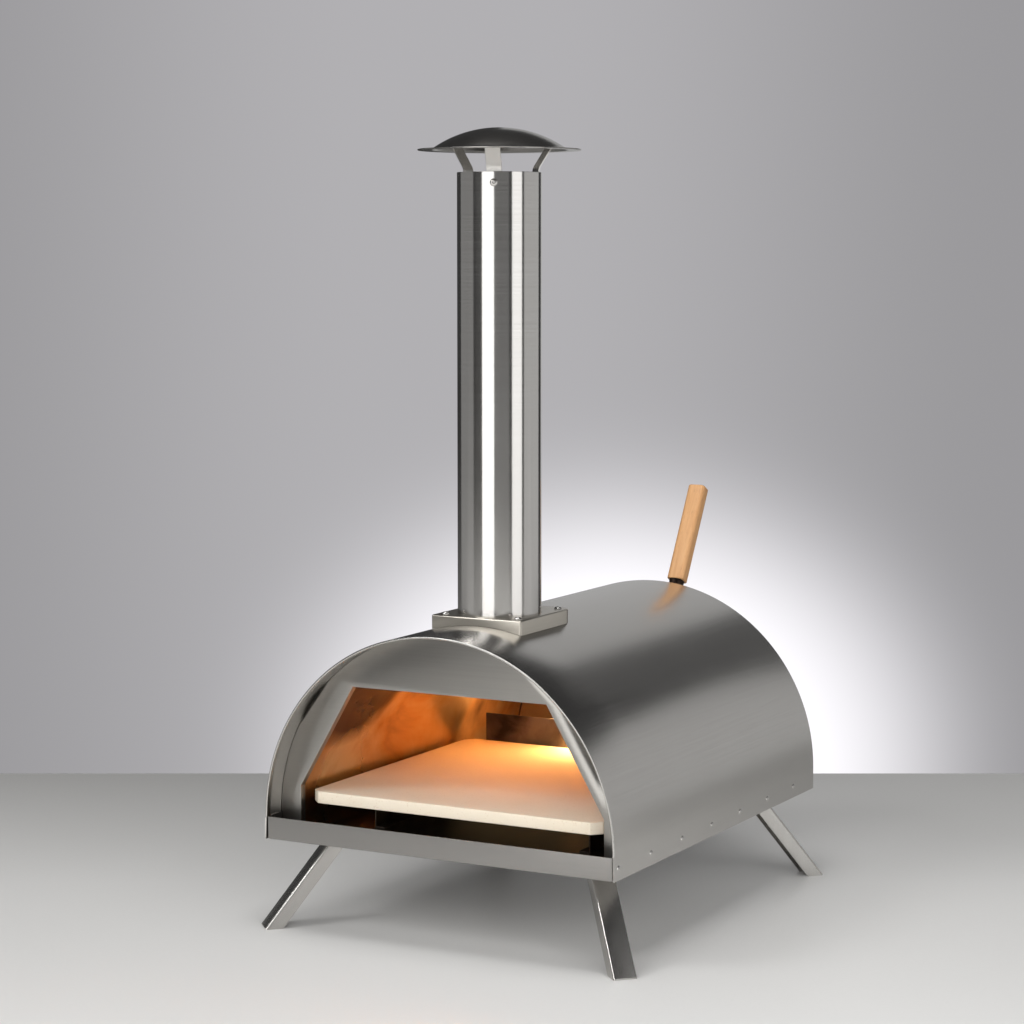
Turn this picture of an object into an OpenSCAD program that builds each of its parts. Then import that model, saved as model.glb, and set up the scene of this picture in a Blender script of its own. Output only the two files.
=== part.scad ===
// Wood fired table-top pizza oven.
// Millimetres, +Z up, mouth towards -Y, feet on Z = 0, origin under the middle of the oven.
// Every part is drawn with the shell's front rim at Y = 0 and the pan's underside at Z = 0,
// and oven() then moves it to the origin.

/* [Body] */
// Outside width of the shell
body_w = 400; // [396:1:404]
// Depth of the shell from front rim to rear rim
body_d = 507; // [505:1:515]
// Height of the pan's lip, where the vault springs
lip_h = 23.5; // [22:0.5:24]
// Thickness of the steel sheet
sheet = 1.2; // [1:0.1:1.3]
// Depth of the folded hem on the shell's front rim
hem_d = 7; // [4:1:12]
// Distance of the first side rivet from the front rim
rivet_first = 9; // [8:1:14]
// Distance between side rivets
rivet_pitch = 73.2; // [70:0.1:76]
// Number of rivets on each side
rivet_n = 7; // [3:1:7]

/* [Mouth] */
// Depth of the face plate behind the front rim
face_y = 29; // [20:1:29]
// Width of the mouth at the stone
mouth_w = 349; // [330:1:350]
// Width of the mouth at its top edge
mouth_top_w = 222; // [200:1:224]
// Height where the mouth's sides begin to slant
mouth_side_z = 53; // [50:1:60]
// Height of the mouth's top edge
mouth_top_z = 161; // [150:1:161]

/* [Chamber] */
// Inside radius of the liner's vault
liner_r = 177; // [177:1:179]
// Width of the baking stone
stone_w = 334; // [320:1:336]
// Depth of the baking stone
stone_d = 334; // [320:1:334]
// Thickness of the baking stone
stone_t = 12.4; // [10:0.1:15]
// Height of the stone's underside
stone_z = 35; // [32:0.1:36]
// Distance of the stone from the front rim
stone_y = 34; // [33:1:44]

/* [Chimney] */
// Outside radius of the chimney tube
tube_r = 43.1; // [40:0.1:43.3]
// Distance of the chimney's axis from the front rim
flue_y = 137.5; // [136:0.5:140]
// Height of the tube's top rim
tube_top = 681; // [600:1:700]
// Width of the chimney base
base_w = 104; // [102:1:108]
// Height of the top of the chimney base
base_top = 232; // [231:0.5:234]
// Radius of the cap's domed part
cap_dome_r = 69; // [62:1:72]
// Height of the dome above the brim
cap_dome_h = 22; // [18:1:26]
// Radius of the cap's brim
cap_brim_r = 83; // [78:1:90]
// Gap between the tube's rim and the brim
cap_gap = 22; // [18:1:26]
// Direction of the first cap strap
strap_first = -69; // [-90:1:-50]

/* [Hopper] */
// Lean of the hopper and its handle from upright
hopper_lean = 29.7; // [28:0.1:31]
// Distance of the lid's middle from the front rim
lid_y = 558; // [557.5:0.5:560]
// Height of the lid's middle
lid_z = 191.5; // [190:0.5:192]
// Size of the lid along its slope
lid_d = 70; // [68:1:72]
// Width of the hopper chute
chute_w = 100; // [80:1:104]
// Height of the ferrule under the handle
ferrule_h = 28; // [26:0.5:30]
// Length of the wooden handle
handle_l = 121; // [80:1:130]
// Width of the wooden handle
handle_w = 21; // [18:1:24]
// Thickness of the wooden handle
handle_t = 18; // [16:1:22]

/* [Legs] */
// Height of the pan's underside above the floor
foot_h = 96; // [80:1:110]
// Tilt of the legs from upright
leg_tilt = 38.2; // [36:0.1:40]
// Width of a leg
leg_w = 24.5; // [23:0.5:28]
// Depth of a leg's side flanges
leg_flange = 15.3; // [14:0.1:15.5]
// Thickness of the leg sheet
leg_t = 1.5; // [1.2:0.1:1.5]
// Half the distance between the legs across the oven
leg_x = 156; // [150:1:160]
// Distance of the front legs from the front rim
leg_y_front = 60.8; // [60:0.1:70]
// Distance of the rear legs from the front rim
leg_y_rear = 452.6; // [430:0.1:455]

/* [Hidden] */
$fn = 96;

body_r = body_w / 2;
gap = 0.2;
far = 1000;
// Clearance round a screw or rivet, and a running pin
bolt_r = 2;
bolt_hole_r = bolt_r + 0.05;
pin_r = 2.5;
pin_hole_r = pin_r + 0.05;

// Pan and panels
pan_r = body_r - sheet - gap;
pan_d = body_d - sheet - gap;
rivet_z = 11.5;
panel_r = body_r - sheet - gap;
flange_d = 12;
slot_w = 128;
slot_h = 28;
panel_rivet_x = [-170, -110, 110, 170];

// Chamber
mouth_flange = 8;
liner_y0 = face_y + mouth_flange + 1;
liner_y1 = pan_d - sheet - gap;
blanket_y0 = face_y + flange_d + 1;
blanket_y1 = body_d - flange_d - 2;
stone_clip = 10;
rail_x = 126;
rail_top = stone_z - gap;
guard_y = 380;
guard_h = 75;
guard_w = 300;

// Burner
tray_w = 124;
tray_y = 398;
tray_z = 2;
tray_h = 23;
grate_z = 11;

// Flue and chimney
sleeve_r = tube_r + 2.6;
base_y0 = 87;
base_d = 113;
base_corner = 13;
screw_x = 42;
screw_y = [base_y0 + 12, base_y0 + base_d - 13];
flange_z = base_top - sheet - gap - sheet;
cap_z = tube_top + cap_gap;
dome_r = (pow(cap_dome_r, 2) + pow(cap_dome_h, 2)) / (2 * cap_dome_h);
dome_z = cap_z + sheet + cap_dome_h - dome_r;
strap_w = 15.5;
strap_t = 1.5;
strap_r = tube_r - 1 - 1.15 - strap_t;
strap_screw_z = tube_top - 11;

// Hopper
chute_d = lid_d - 2 * sheet - 1.2;
hopper_screw_z = [42, 106, 174];
hopper_screw_x = 56;

// Legs: each pivot lies inside its web and below the pan
bracket_t = 1.5;
pivot_in = 8;
web_top = 4;
stop_h = pivot_in * sin(leg_tilt) + web_top * cos(leg_tilt) + 0.15;
pivot_z = -bracket_t - stop_h;
pivot_s = (-pivot_in - pivot_z * sin(leg_tilt)) / cos(leg_tilt);
leg_drop = foot_h + pivot_z;
foot_x = (pivot_in + leg_drop * sin(leg_tilt)) / cos(leg_tilt);
ear_y = leg_w / 2 - leg_t - 0.15;
ear_r = 5.8;
rivet_in = [-10, -19];
// Corners as [side, end, distance from the front rim]; end is -1 at the front
CORNERS = [
    [-1, -1, leg_y_front], [1, -1, leg_y_front], [-1, 1, leg_y_rear], [1, 1, leg_y_rear]
];

// Middle of the whole oven's depth: front feet to the tip of the handle
y_front = leg_y_front - (foot_h * tan(leg_tilt) + leg_w / 2) * cos(45);
y_back = lid_y + (ferrule_h + handle_l) * sin(hopper_lean) + handle_t / 2 * cos(hopper_lean);
y_mid = (y_front + y_back) / 2;

STEEL = [0.66, 0.65, 0.64];
BRIGHT = [0.78, 0.77, 0.76];
DARK = [0.30, 0.29, 0.29];
BURNT = [0.47, 0.36, 0.27];
STONE = [0.93, 0.87, 0.76];
BLANKET = [0.90, 0.89, 0.86];
WOOD = [0.80, 0.60, 0.40];

// ---- Helpers ----

module oven() translate([0, -y_mid, foot_h]) children();

// Extrudes an outline drawn in X and Z from y0 to y1
module along_y(y0, y1)
    translate([0, y1, 0]) rotate([90, 0, 0]) linear_extrude(height = y1 - y0) children();

// Vault outline: half circle on two straight sides that start at height low
module arch(r, low) {
    intersection() {
        translate([0, lip_h]) circle(r = r, $fn = 180);
        translate([-r, lip_h]) square([2 * r, r + 1]);
    }
    if (low < lip_h) translate([-r, low]) square([2 * r, lip_h - low]);
}

module arch_ring(r, t, low) difference() {
    arch(r, low);
    arch(r - t, low - 1);
}

// Panel outline that fills the shell: narrower below the lip, where the pan's sides stand
module panel_outline(low_r, low) {
    translate([0, gap]) arch(panel_r, lip_h);
    translate([-low_r, low]) square([2 * low_r, lip_h + gap - low]);
}

// Mouth outline, grown outwards by t
module mouth(t) {
    lean = atan2((mouth_w - mouth_top_w) / 2, mouth_top_z - mouth_side_z);
    side_x = mouth_w / 2 + t;
    side_z = mouth_side_z + t * tan(lean / 2);
    top_x = mouth_top_w / 2 + t * tan((90 - lean) / 2);
    top_z = mouth_top_z + t;
    polygon([[-side_x, -5], [-side_x, side_z], [-top_x, top_z],
             [top_x, top_z], [side_x, side_z], [side_x, -5]]);
}

module vault_core(r) translate([0, far, lip_h]) rotate([90, 0, 0]) cylinder(r = r, h = 2 * far, $fn = 180);

module at_flue() translate([0, flue_y, 0]) children();

module domed_head(r, h) {
    ball = (r * r + h * h) / (2 * h);
    intersection() {
        translate([0, 0, h - ball]) sphere(r = ball);
        cylinder(r = r + 1, h = h + 1);
    }
}

// Rivet along -Z through a stack of sheets, domed head outside, flat tail inside
module rivet(stack) {
    domed_head(3.6, 1.5);
    translate([0, 0, -stack - 1]) cylinder(r = bolt_r, h = stack + 1);
    translate([0, 0, -stack - 1]) cylinder(r = 3.2, h = 1);
}

// Pan-head screw along -Z
module screw(length) {
    difference() {
        domed_head(4, 2.2);
        translate([-2.2, -0.4, 1.2]) cube([4.4, 0.8, 2]);
        translate([-0.4, -2.2, 1.2]) cube([0.8, 4.4, 2]);
    }
    translate([0, 0, -length]) cylinder(r = bolt_r, h = length);
}

// Hexagon nut along -Z from its top face
module nut() difference() {
    translate([0, 0, -3.2]) cylinder(r = 4.0, h = 3.2, $fn = 6);
    translate([0, 0, -4]) cylinder(r = bolt_hole_r, h = 5);
}

module bolt_hole() translate([0, 0, -20]) cylinder(r = bolt_hole_r, h = 40);

module at_side_rivets()
    for (side = [-1, 1], i = [0 : rivet_n - 1])
        translate([side * body_r, rivet_first + i * rivet_pitch, rivet_z])
            rotate([0, side * 90, 0]) children();

module at_panel_rivets()
    for (x = panel_rivet_x) translate([x, body_d, rivet_z]) rotate([-90, 0, 0]) children();

// Leg frame: origin at the pivot, +X outwards along the oven's diagonal, +Z up
module at_corner(c)
    translate([c[0] * leg_x, c[2], 0]) rotate([0, 0, atan2(c[1], c[0])])
        translate([pivot_s, 0, pivot_z]) children();

module at_bracket_rivets()
    for (c = CORNERS, x = rivet_in) at_corner(c) translate([x, 0, -pivot_z + sheet]) children();

// ---- Body ----

module base_pan() color(STEEL) oven() difference() {
    translate([-pan_r, 0, 0]) cube([2 * pan_r, pan_d, lip_h]);
    translate([-pan_r + sheet, sheet, sheet]) cube([2 * (pan_r - sheet), pan_d - 2 * sheet, lip_h]);
    translate([-slot_w / 2, pan_d - sheet - 1, sheet]) cube([slot_w, sheet + 2, lip_h]);
    at_side_rivets() bolt_hole();
    at_panel_rivets() bolt_hole();
    at_bracket_rivets() bolt_hole();
}

module outer_shell() color(STEEL) oven() difference() {
    union() {
        along_y(0, body_d) arch_ring(body_r, sheet, 0);
        along_y(0, hem_d) translate([0, gap]) arch_ring(body_r - sheet - 0.1, sheet, lip_h);
        // The hem's fold closes the front edge
        along_y(0, sheet) translate([0, gap]) arch_ring(body_r - 0.4, 2 * sheet - 0.2, lip_h);
    }
    at_flue() cylinder(r = sleeve_r + gap, h = far);
    at_side_rivets() bolt_hole();
}

module shell_rivets() color(STEEL) oven() at_side_rivets() rivet(2 * sheet + gap);

module face_plate() color(STEEL) oven() {
    difference() {
        union() {
            along_y(face_y, face_y + sheet) panel_outline(pan_r - sheet - gap, sheet + gap);
            along_y(face_y, face_y + flange_d) translate([0, gap]) arch_ring(panel_r, sheet, lip_h);
            along_y(face_y, face_y + mouth_flange) intersection() {
                mouth(sheet);
                translate([-body_r, sheet + gap]) square([body_w, body_r]);
            }
        }
        along_y(face_y - 1, face_y + flange_d + 1) mouth(0);
    }
}

module inner_liner() color(BURNT) oven() difference() {
    union() {
        along_y(liner_y0, liner_y1) arch_ring(liner_r + sheet, sheet, sheet);
        for (side = [-1, 1])
            translate([side > 0 ? liner_r : -liner_r - flange_d, liner_y0, sheet])
                cube([flange_d, liner_y1 - liner_y0, sheet]);
    }
    at_flue() cylinder(r = sleeve_r + gap, h = far);
}

module insulation_blanket() color(BLANKET) oven() difference() {
    along_y(blanket_y0, blanket_y1) {
        translate([0, gap]) arch(panel_r - gap, lip_h);
        translate([-pan_r + 2.6, 2 * sheet + gap])
            square([2 * (pan_r - 2.6), lip_h - 2 * sheet]);
    }
    along_y(blanket_y0 - 1, blanket_y1 + 1) arch(liner_r + sheet + gap, 0);
    at_flue() cylinder(r = sleeve_r + gap, h = far);
}

module rear_panel() color(STEEL) oven() difference() {
    union() {
        along_y(body_d - sheet, body_d) panel_outline(panel_r, 0);
        along_y(body_d - flange_d, body_d) translate([0, gap]) arch_ring(panel_r, sheet, lip_h);
    }
    translate([-slot_w / 2, body_d - 2 * sheet, -1]) cube([slot_w, 4 * sheet, slot_h + 1]);
    chute_hollow();
    at_panel_rivets() bolt_hole();
    at_hopper_screws() bolt_hole();
}

module panel_rivets() color(STEEL) oven() at_panel_rivets() rivet(2 * sheet + gap);

// ---- Chamber ----

module stone_rail(side) color(DARK) oven() {
    rail_y = 96;
    rail_d = 276;
    translate([side * rail_x, rail_y, sheet]) mirror([side > 0 ? 0 : 1, 0, 0]) {
        translate([-flange_d, 0, 0]) cube([flange_d, rail_d, sheet]);
        translate([-sheet, 0, 0]) cube([sheet, rail_d, rail_top - sheet]);
        translate([-sheet, 0, rail_top - 2 * sheet]) cube([14, rail_d, sheet]);
    }
}

module stone_rail_left() stone_rail(-1);

module stone_rail_right() stone_rail(1);

module pizza_stone() color(STONE) oven() {
    w = stone_w / 2;
    c = stone_clip;
    translate([0, stone_y, stone_z]) linear_extrude(height = stone_t)
        polygon([[-w + c, 0], [w - c, 0], [w, c], [w, stone_d - c],
                 [w - c, stone_d], [-w + c, stone_d], [-w, stone_d - c], [-w, c]]);
}

module flame_guard() color(DARK) oven() translate([-guard_w / 2, guard_y, sheet]) {
    cube([guard_w, sheet, guard_h]);
    cube([guard_w, flange_d, sheet]);
}

// ---- Burner ----

module burner_tray() color(DARK) oven() {
    tray_d = body_d - tray_y;
    face_w = 140;
    difference() {
        union() {
            translate([-tray_w / 2, tray_y, tray_z]) cube([tray_w, tray_d + gap, tray_h]);
            translate([-face_w / 2, body_d + gap, sheet]) cube([face_w, sheet, slot_h]);
        }
        translate([-tray_w / 2 + sheet, tray_y + sheet, tray_z + sheet])
            cube([tray_w - 2 * sheet, tray_d - sheet + gap, tray_h]);
        for (x = [-49 : 14 : 49]) if (abs(x) > 8)
            translate([x, body_d, 7.5]) rotate([-90, 0, 0]) cylinder(r = 2.5, h = 4, $fn = 32);
        translate([0, body_d, 18]) rotate([-90, 0, 0]) bolt_hole();
    }
}

module fire_grate() color(DARK) oven() difference() {
    w = tray_w - 2 * sheet - 0.4;
    d = body_d - tray_y - 2 * sheet;
    translate([-w / 2, tray_y + sheet + gap, tray_z + sheet]) union() {
        translate([0, 0, grate_z - tray_z - sheet]) cube([w, d, 1.5]);
        cube([1.5, d, grate_z - tray_z - sheet]);
        translate([w - 1.5, 0, 0]) cube([1.5, d, grate_z - tray_z - sheet]);
    }
    for (x = [-48 : 12 : 48])
        translate([x - 2, tray_y + 9, grate_z - 1]) cube([4, d - 16, 4]);
}

module tray_knob() color(BRIGHT) oven() translate([0, body_d + gap + sheet, 18]) rotate([-90, 0, 0]) {
    translate([0, 0, -6]) cylinder(r = bolt_r, h = 8);
    cylinder(r = 4.5, h = 9);
    translate([0, 0, 9]) cylinder(r = 9, h = 7);
}

// ---- Hopper ----

// Hopper frame: origin at the middle of the lid's top face, +Z along the chute and handle
module at_lid() translate([0, lid_y, lid_z]) rotate([-hopper_lean, 0, 0]) children();

module chute_hollow() at_lid() {
    w = chute_w - 2 * sheet;
    d = chute_d - 2 * sheet;
    translate([-w / 2, -d / 2, -220]) cube([w, d, 240]);
}

module at_hopper_screws()
    for (x = [-hopper_screw_x, hopper_screw_x], z = hopper_screw_z)
        translate([x, body_d + sheet, z]) rotate([-90, 0, 0]) children();

module fuel_hopper() color(STEEL) oven() difference() {
    flange_low = slot_h + 2;
    union() {
        intersection() {
            at_lid() translate([-chute_w / 2, -chute_d / 2, -220])
                cube([chute_w, chute_d, 220 - sheet - gap]);
            translate([-far, body_d, 0]) cube([2 * far, far, far]);
        }
        translate([-63, body_d, flange_low]) cube([126, sheet, 184 - flange_low]);
    }
    chute_hollow();
    at_hopper_screws() bolt_hole();
}

module hopper_screws() color(BRIGHT) oven() at_hopper_screws() screw(8);

module hopper_nuts() color(BRIGHT) oven() at_hopper_screws() translate([0, 0, -2 * sheet]) nut();

module hopper_lid() color(STEEL) oven() at_lid() {
    w = chute_w + 1.2 + 2 * sheet;
    difference() {
        translate([-w / 2, -lid_d / 2, -flange_d]) cube([w, lid_d, flange_d]);
        translate([-w / 2 + sheet, -lid_d / 2 + sheet, -flange_d - 1])
            cube([w - 2 * sheet, lid_d - 2 * sheet, flange_d + 1 - sheet]);
        bolt_hole();
    }
}

module handle_ferrule() color(DARK) oven() at_lid() difference() {
    cylinder(r1 = 6.5, r2 = 9, h = ferrule_h);
    translate([0, 0, ferrule_h / 2]) bolt_hole();
}

module lid_handle() color(WOOD) oven() at_lid() translate([0, 0, ferrule_h]) difference() {
    r = 5;
    x = handle_w / 2 - r;
    y = handle_t / 2 - r;
    linear_extrude(height = handle_l) union() {
        square([handle_w, 2 * y], center = true);
        square([2 * x, handle_t], center = true);
        for (sx = [-x, x], sy = [-y, y]) translate([sx, sy]) circle(r = r);
    }
    translate([0, 0, -1]) cylinder(r = bolt_hole_r, h = 41);
}

module handle_screw() color(BRIGHT) oven() at_lid() translate([0, 0, -sheet]) {
    cylinder(r = bolt_r, h = sheet + ferrule_h + 38);
    mirror([0, 0, 1]) domed_head(4, 2.2);
}

// ---- Chimney ----

module flue_sleeve() color(BURNT) oven() difference() {
    at_flue() cylinder(r = sleeve_r, h = flange_z - 1);
    at_flue() translate([0, 0, -1]) cylinder(r = sleeve_r - sheet, h = far);
    vault_core(liner_r);
}

module at_chimney_screws()
    for (x = [-screw_x, screw_x], y = screw_y) translate([x, y, base_top]) children();

// Plan of the chimney base, inset by t: square corners in front, rounded ones behind
module base_plan(t) {
    w = base_w / 2 - t;
    r = base_corner - t;
    y1 = base_y0 + base_d - t;
    translate([-w, base_y0 + t]) square([2 * w, base_d - 2 * t - r]);
    translate([-w + r, base_y0 + t]) square([2 * (w - r), base_d - 2 * t]);
    for (x = [-w + r, w - r]) translate([x, y1 - r]) circle(r = r);
}

module chimney_base() color(STEEL) oven() difference() {
    translate([0, 0, lip_h]) linear_extrude(height = base_top - lip_h) base_plan(0);
    linear_extrude(height = base_top - sheet) base_plan(sheet);
    vault_core(body_r + gap);
    at_flue() cylinder(r = tube_r + gap, h = far);
    at_chimney_screws() bolt_hole();
}

module tube_flange() color(STEEL) oven() difference() {
    translate([0, 0, flange_z]) linear_extrude(height = sheet) base_plan(sheet + gap);
    at_flue() cylinder(r = tube_r + 0.05, h = far);
    at_chimney_screws() bolt_hole();
}

module chimney_tube() color(BRIGHT) oven() at_flue() difference() {
    translate([0, 0, 205]) cylinder(r = tube_r, h = tube_top - 205);
    cylinder(r = tube_r - 1, h = far);
    at_cap_screws() bolt_hole();
}

module chimney_screws() color(BRIGHT) oven() at_chimney_screws() screw(8);

module chimney_nuts() color(BRIGHT) oven() at_chimney_screws() translate([0, 0, -2 * sheet - gap]) nut();

// Cap screws, in the flue's frame: origin on the tube's outer face, +Z outwards
module at_cap_screws()
    for (i = [0 : 2]) rotate([0, 0, strap_first + 120 * i])
        translate([tube_r, 0, strap_screw_z]) rotate([0, 90, 0]) children();

module chimney_cap() color(DARK) oven() at_flue() rotate_extrude($fn = 144) {
    intersection() {
        translate([0, dome_z]) difference() {
            circle(r = dome_r, $fn = 180);
            circle(r = dome_r - sheet, $fn = 180);
        }
        translate([0, cap_z]) square([cap_dome_r + 1, cap_dome_h + 4]);
    }
    translate([cap_dome_r - 1, cap_z]) square([cap_brim_r - cap_dome_r + 1, sheet]);
}

// Strap: upright inside the tube, then leaning out to the underside of the dome
module cap_strap(i) color(BRIGHT) oven() at_flue() difference() {
    lean_r = 27;
    bend_z = tube_top + 4;
    top_z = bend_z + 41;
    intersection() {
        rotate([0, 0, strap_first + 120 * i]) rotate([90, 0, 0]) translate([0, 0, -strap_w / 2])
            linear_extrude(height = strap_w) polygon([
                [strap_r, tube_top - 26], [strap_r + strap_t, tube_top - 26],
                [strap_r + strap_t, bend_z], [strap_r + strap_t + lean_r, top_z],
                [strap_r + lean_r, top_z + 0.7], [strap_r, bend_z + 0.7]
            ]);
        translate([0, 0, dome_z]) sphere(r = dome_r - sheet - 0.1, $fn = 144);
    }
    at_cap_screws() bolt_hole();
}

module cap_strap_1() cap_strap(0);

module cap_strap_2() cap_strap(1);

module cap_strap_3() cap_strap(2);

module cap_screws() color(BRIGHT) oven() at_flue() at_cap_screws() screw(8);

module cap_nuts() color(BRIGHT) oven() at_flue() at_cap_screws()
    translate([0, 0, strap_r - tube_r]) nut();

// ---- Legs ----

module leg_bracket(c) color(STEEL) oven() at_corner(c) difference() {
    union() {
        translate([-26, -ear_y, -bracket_t - pivot_z]) cube([33, 2 * ear_y, bracket_t]);
        for (y = [-ear_y, ear_y - bracket_t]) translate([0, y, 0]) {
            translate([0, bracket_t, 0]) rotate([90, 0, 0]) cylinder(r = ear_r, h = bracket_t);
            translate([-ear_r, 0, 0]) cube([ear_r + 1, bracket_t, -pivot_z - bracket_t / 2]);
        }
    }
    rotate([90, 0, 0]) cylinder(r = pin_hole_r, h = 2 * leg_w, center = true);
    for (x = rivet_in) translate([x, 0, -pivot_z]) bolt_hole();
}

module leg_bracket_front_left() leg_bracket(CORNERS[0]);

module leg_bracket_front_right() leg_bracket(CORNERS[1]);

module leg_bracket_rear_left() leg_bracket(CORNERS[2]);

module leg_bracket_rear_right() leg_bracket(CORNERS[3]);

module bracket_rivets() color(BRIGHT) oven() at_bracket_rivets() rivet(sheet + bracket_t);

module leg_pins() color(BRIGHT) oven() for (c = CORNERS) at_corner(c) {
    reach = leg_w / 2 + 0.15;
    rotate([90, 0, 0]) cylinder(r = pin_r, h = 2 * reach + 2, center = true);
    for (side = [-1, 1]) translate([0, side * reach, 0]) rotate([-side * 90, 0, 0])
        cylinder(r = 4, h = 1.4);
}

// Outline of a leg seen along its pin, from depth d inside the web's outer face, cut level at the floor
module leg_outline(d) intersection() {
    rotate(leg_tilt) {
        translate([pivot_in - d, -2 * foot_h]) square([d, 2 * foot_h + (d > leg_t ? 0 : web_top)]);
        if (d > leg_t) {
            circle(r = d - pivot_in);
            translate([0, -1]) square([pivot_in, 1 + web_top]);
        }
    }
    translate([-far, -leg_drop]) square([2 * far, far]);
}

// Folded channel with rounded upper corners and a bent foot
module leg(c) color(BRIGHT) oven() at_corner(c) difference() {
    union() {
        along_y(-leg_w / 2, leg_w / 2) leg_outline(leg_t);
        for (y = [-leg_w / 2, leg_w / 2 - leg_t]) along_y(y, y + leg_t) leg_outline(leg_flange);
        along_y(-leg_w / 2 + leg_t / 2, leg_w / 2 - leg_t / 2)
            translate([foot_x - 16, -leg_drop]) square([15, leg_t]);
    }
    rotate([90, 0, 0]) cylinder(r = pin_hole_r, h = 2 * leg_w, center = true);
}

module leg_front_left() leg(CORNERS[0]);

module leg_front_right() leg(CORNERS[1]);

module leg_rear_left() leg(CORNERS[2]);

module leg_rear_right() leg(CORNERS[3]);

base_pan();
outer_shell();
shell_rivets();
face_plate();
inner_liner();
insulation_blanket();
rear_panel();
panel_rivets();
stone_rail_left();
stone_rail_right();
pizza_stone();
flame_guard();
burner_tray();
fire_grate();
tray_knob();
fuel_hopper();
hopper_screws();
hopper_nuts();
hopper_lid();
handle_ferrule();
lid_handle();
handle_screw();
flue_sleeve();
chimney_base();
tube_flange();
chimney_tube();
chimney_screws();
chimney_nuts();
chimney_cap();
cap_strap_1();
cap_strap_2();
cap_strap_3();
cap_screws();
cap_nuts();
leg_bracket_front_left();
leg_bracket_front_right();
leg_bracket_rear_left();
leg_bracket_rear_right();
bracket_rivets();
leg_pins();
leg_front_left();
leg_front_right();
leg_rear_left();
leg_rear_right();
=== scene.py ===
"""Wood fired table-top pizza oven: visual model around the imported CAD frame.

Every length in a dataclass is in millimetres and is turned to metres by at() or mm().
Places are given in the oven's own datum: X = 0 in the middle, Y = 0 at the shell's front
rim, Z = 0 at the underside of the pan.
"""

import logging
import math
from dataclasses import dataclass, field
from enum import Enum
from typing import Callable, Iterable, Optional, Sequence

import bmesh
import bpy
from mathutils import Matrix, Vector


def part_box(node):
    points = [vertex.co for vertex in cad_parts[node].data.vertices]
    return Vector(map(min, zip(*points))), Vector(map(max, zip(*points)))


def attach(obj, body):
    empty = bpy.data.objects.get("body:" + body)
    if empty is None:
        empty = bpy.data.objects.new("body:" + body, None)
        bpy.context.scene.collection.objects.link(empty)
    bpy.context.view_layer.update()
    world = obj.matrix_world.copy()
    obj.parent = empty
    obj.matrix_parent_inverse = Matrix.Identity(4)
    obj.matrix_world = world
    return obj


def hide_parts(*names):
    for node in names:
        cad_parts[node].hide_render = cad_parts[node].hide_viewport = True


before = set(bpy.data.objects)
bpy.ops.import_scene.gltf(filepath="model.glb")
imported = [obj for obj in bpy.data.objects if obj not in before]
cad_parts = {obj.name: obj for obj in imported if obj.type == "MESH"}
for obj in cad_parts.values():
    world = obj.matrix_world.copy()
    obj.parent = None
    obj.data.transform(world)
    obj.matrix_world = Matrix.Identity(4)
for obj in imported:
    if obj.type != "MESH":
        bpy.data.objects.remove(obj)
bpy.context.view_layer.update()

log = logging.getLogger("oven")

FRONT_RIM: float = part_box("outer_shell")[0].y
PAN_BASE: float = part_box("base_pan")[0].z
UP = Vector((0.0, 0.0, 1.0))
TINY = 1e-6


def mm(length: float) -> float:
    """Millimetres to metres."""
    return length * 0.001


def at(x: float, y: float, z: float) -> Vector:
    """Point of the oven's datum in the model's frame.

    Args:
        x: Millimetres to the right of the middle.
        y: Millimetres behind the shell's front rim.
        z: Millimetres above the pan's underside.

    Returns:
        The point in metres.
    """
    return Vector((mm(x), FRONT_RIM + mm(y), PAN_BASE + mm(z)))


def linear(hex_colour: str) -> tuple[float, float, float, float]:
    """Turns an sRGB hex colour to linear.

    Args:
        hex_colour: Colour such as "#c8b9a0".

    Returns:
        Red, green, blue and alpha, linear.
    """
    parts = [int(hex_colour[i : i + 2], 16) / 255 for i in (1, 3, 5)]
    red, green, blue = (
        c / 12.92 if c <= 0.04045 else ((c + 0.055) / 1.055) ** 2.4 for c in parts
    )
    return red, green, blue, 1.0


# ---------------------------------------------------------------- finishes


def add(tree: bpy.types.NodeTree, kind: str, inputs: Optional[dict] = None, **settings) -> bpy.types.Node:
    """Adds a node with its settings and links.

    Args:
        tree: Node tree that gets the node.
        kind: Node type, such as "ShaderNodeBump".
        inputs: Socket name or number to a value, or to an output socket that is linked.
        settings: Properties of the node itself.

    Returns:
        The node.
    """
    node = tree.nodes.new(kind)
    for name, value in settings.items():
        setattr(node, name, value)
    for key, value in (inputs or {}).items():
        socket = node.inputs[key]
        if isinstance(value, bpy.types.NodeSocket):
            tree.links.new(value, socket)
        else:
            socket.default_value = value
    return node


class Grain(Enum):
    """Run of the grinding lines: which axes they follow, and the way across them where it is fixed."""

    ALONG_X = ((1, 0, 0), None)
    ALONG_Y = ((0, 1, 0), None)
    ALONG_Z = ((0, 0, 1), None)
    AROUND_Z = ((1, 1, 0), (0, 0, 1))


class Finish:
    """Base of all finishes: makes its material once and keeps it."""

    made: dict = {}

    def material(self) -> bpy.types.Material:
        """The finish's material, made at the first call."""
        if self.name not in Finish.made:
            mat = bpy.data.materials.new(self.name)
            mat.use_nodes = True
            mat.node_tree.nodes.clear()
            self.build(mat.node_tree)
            Finish.made[self.name] = mat
        return Finish.made[self.name]


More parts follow.
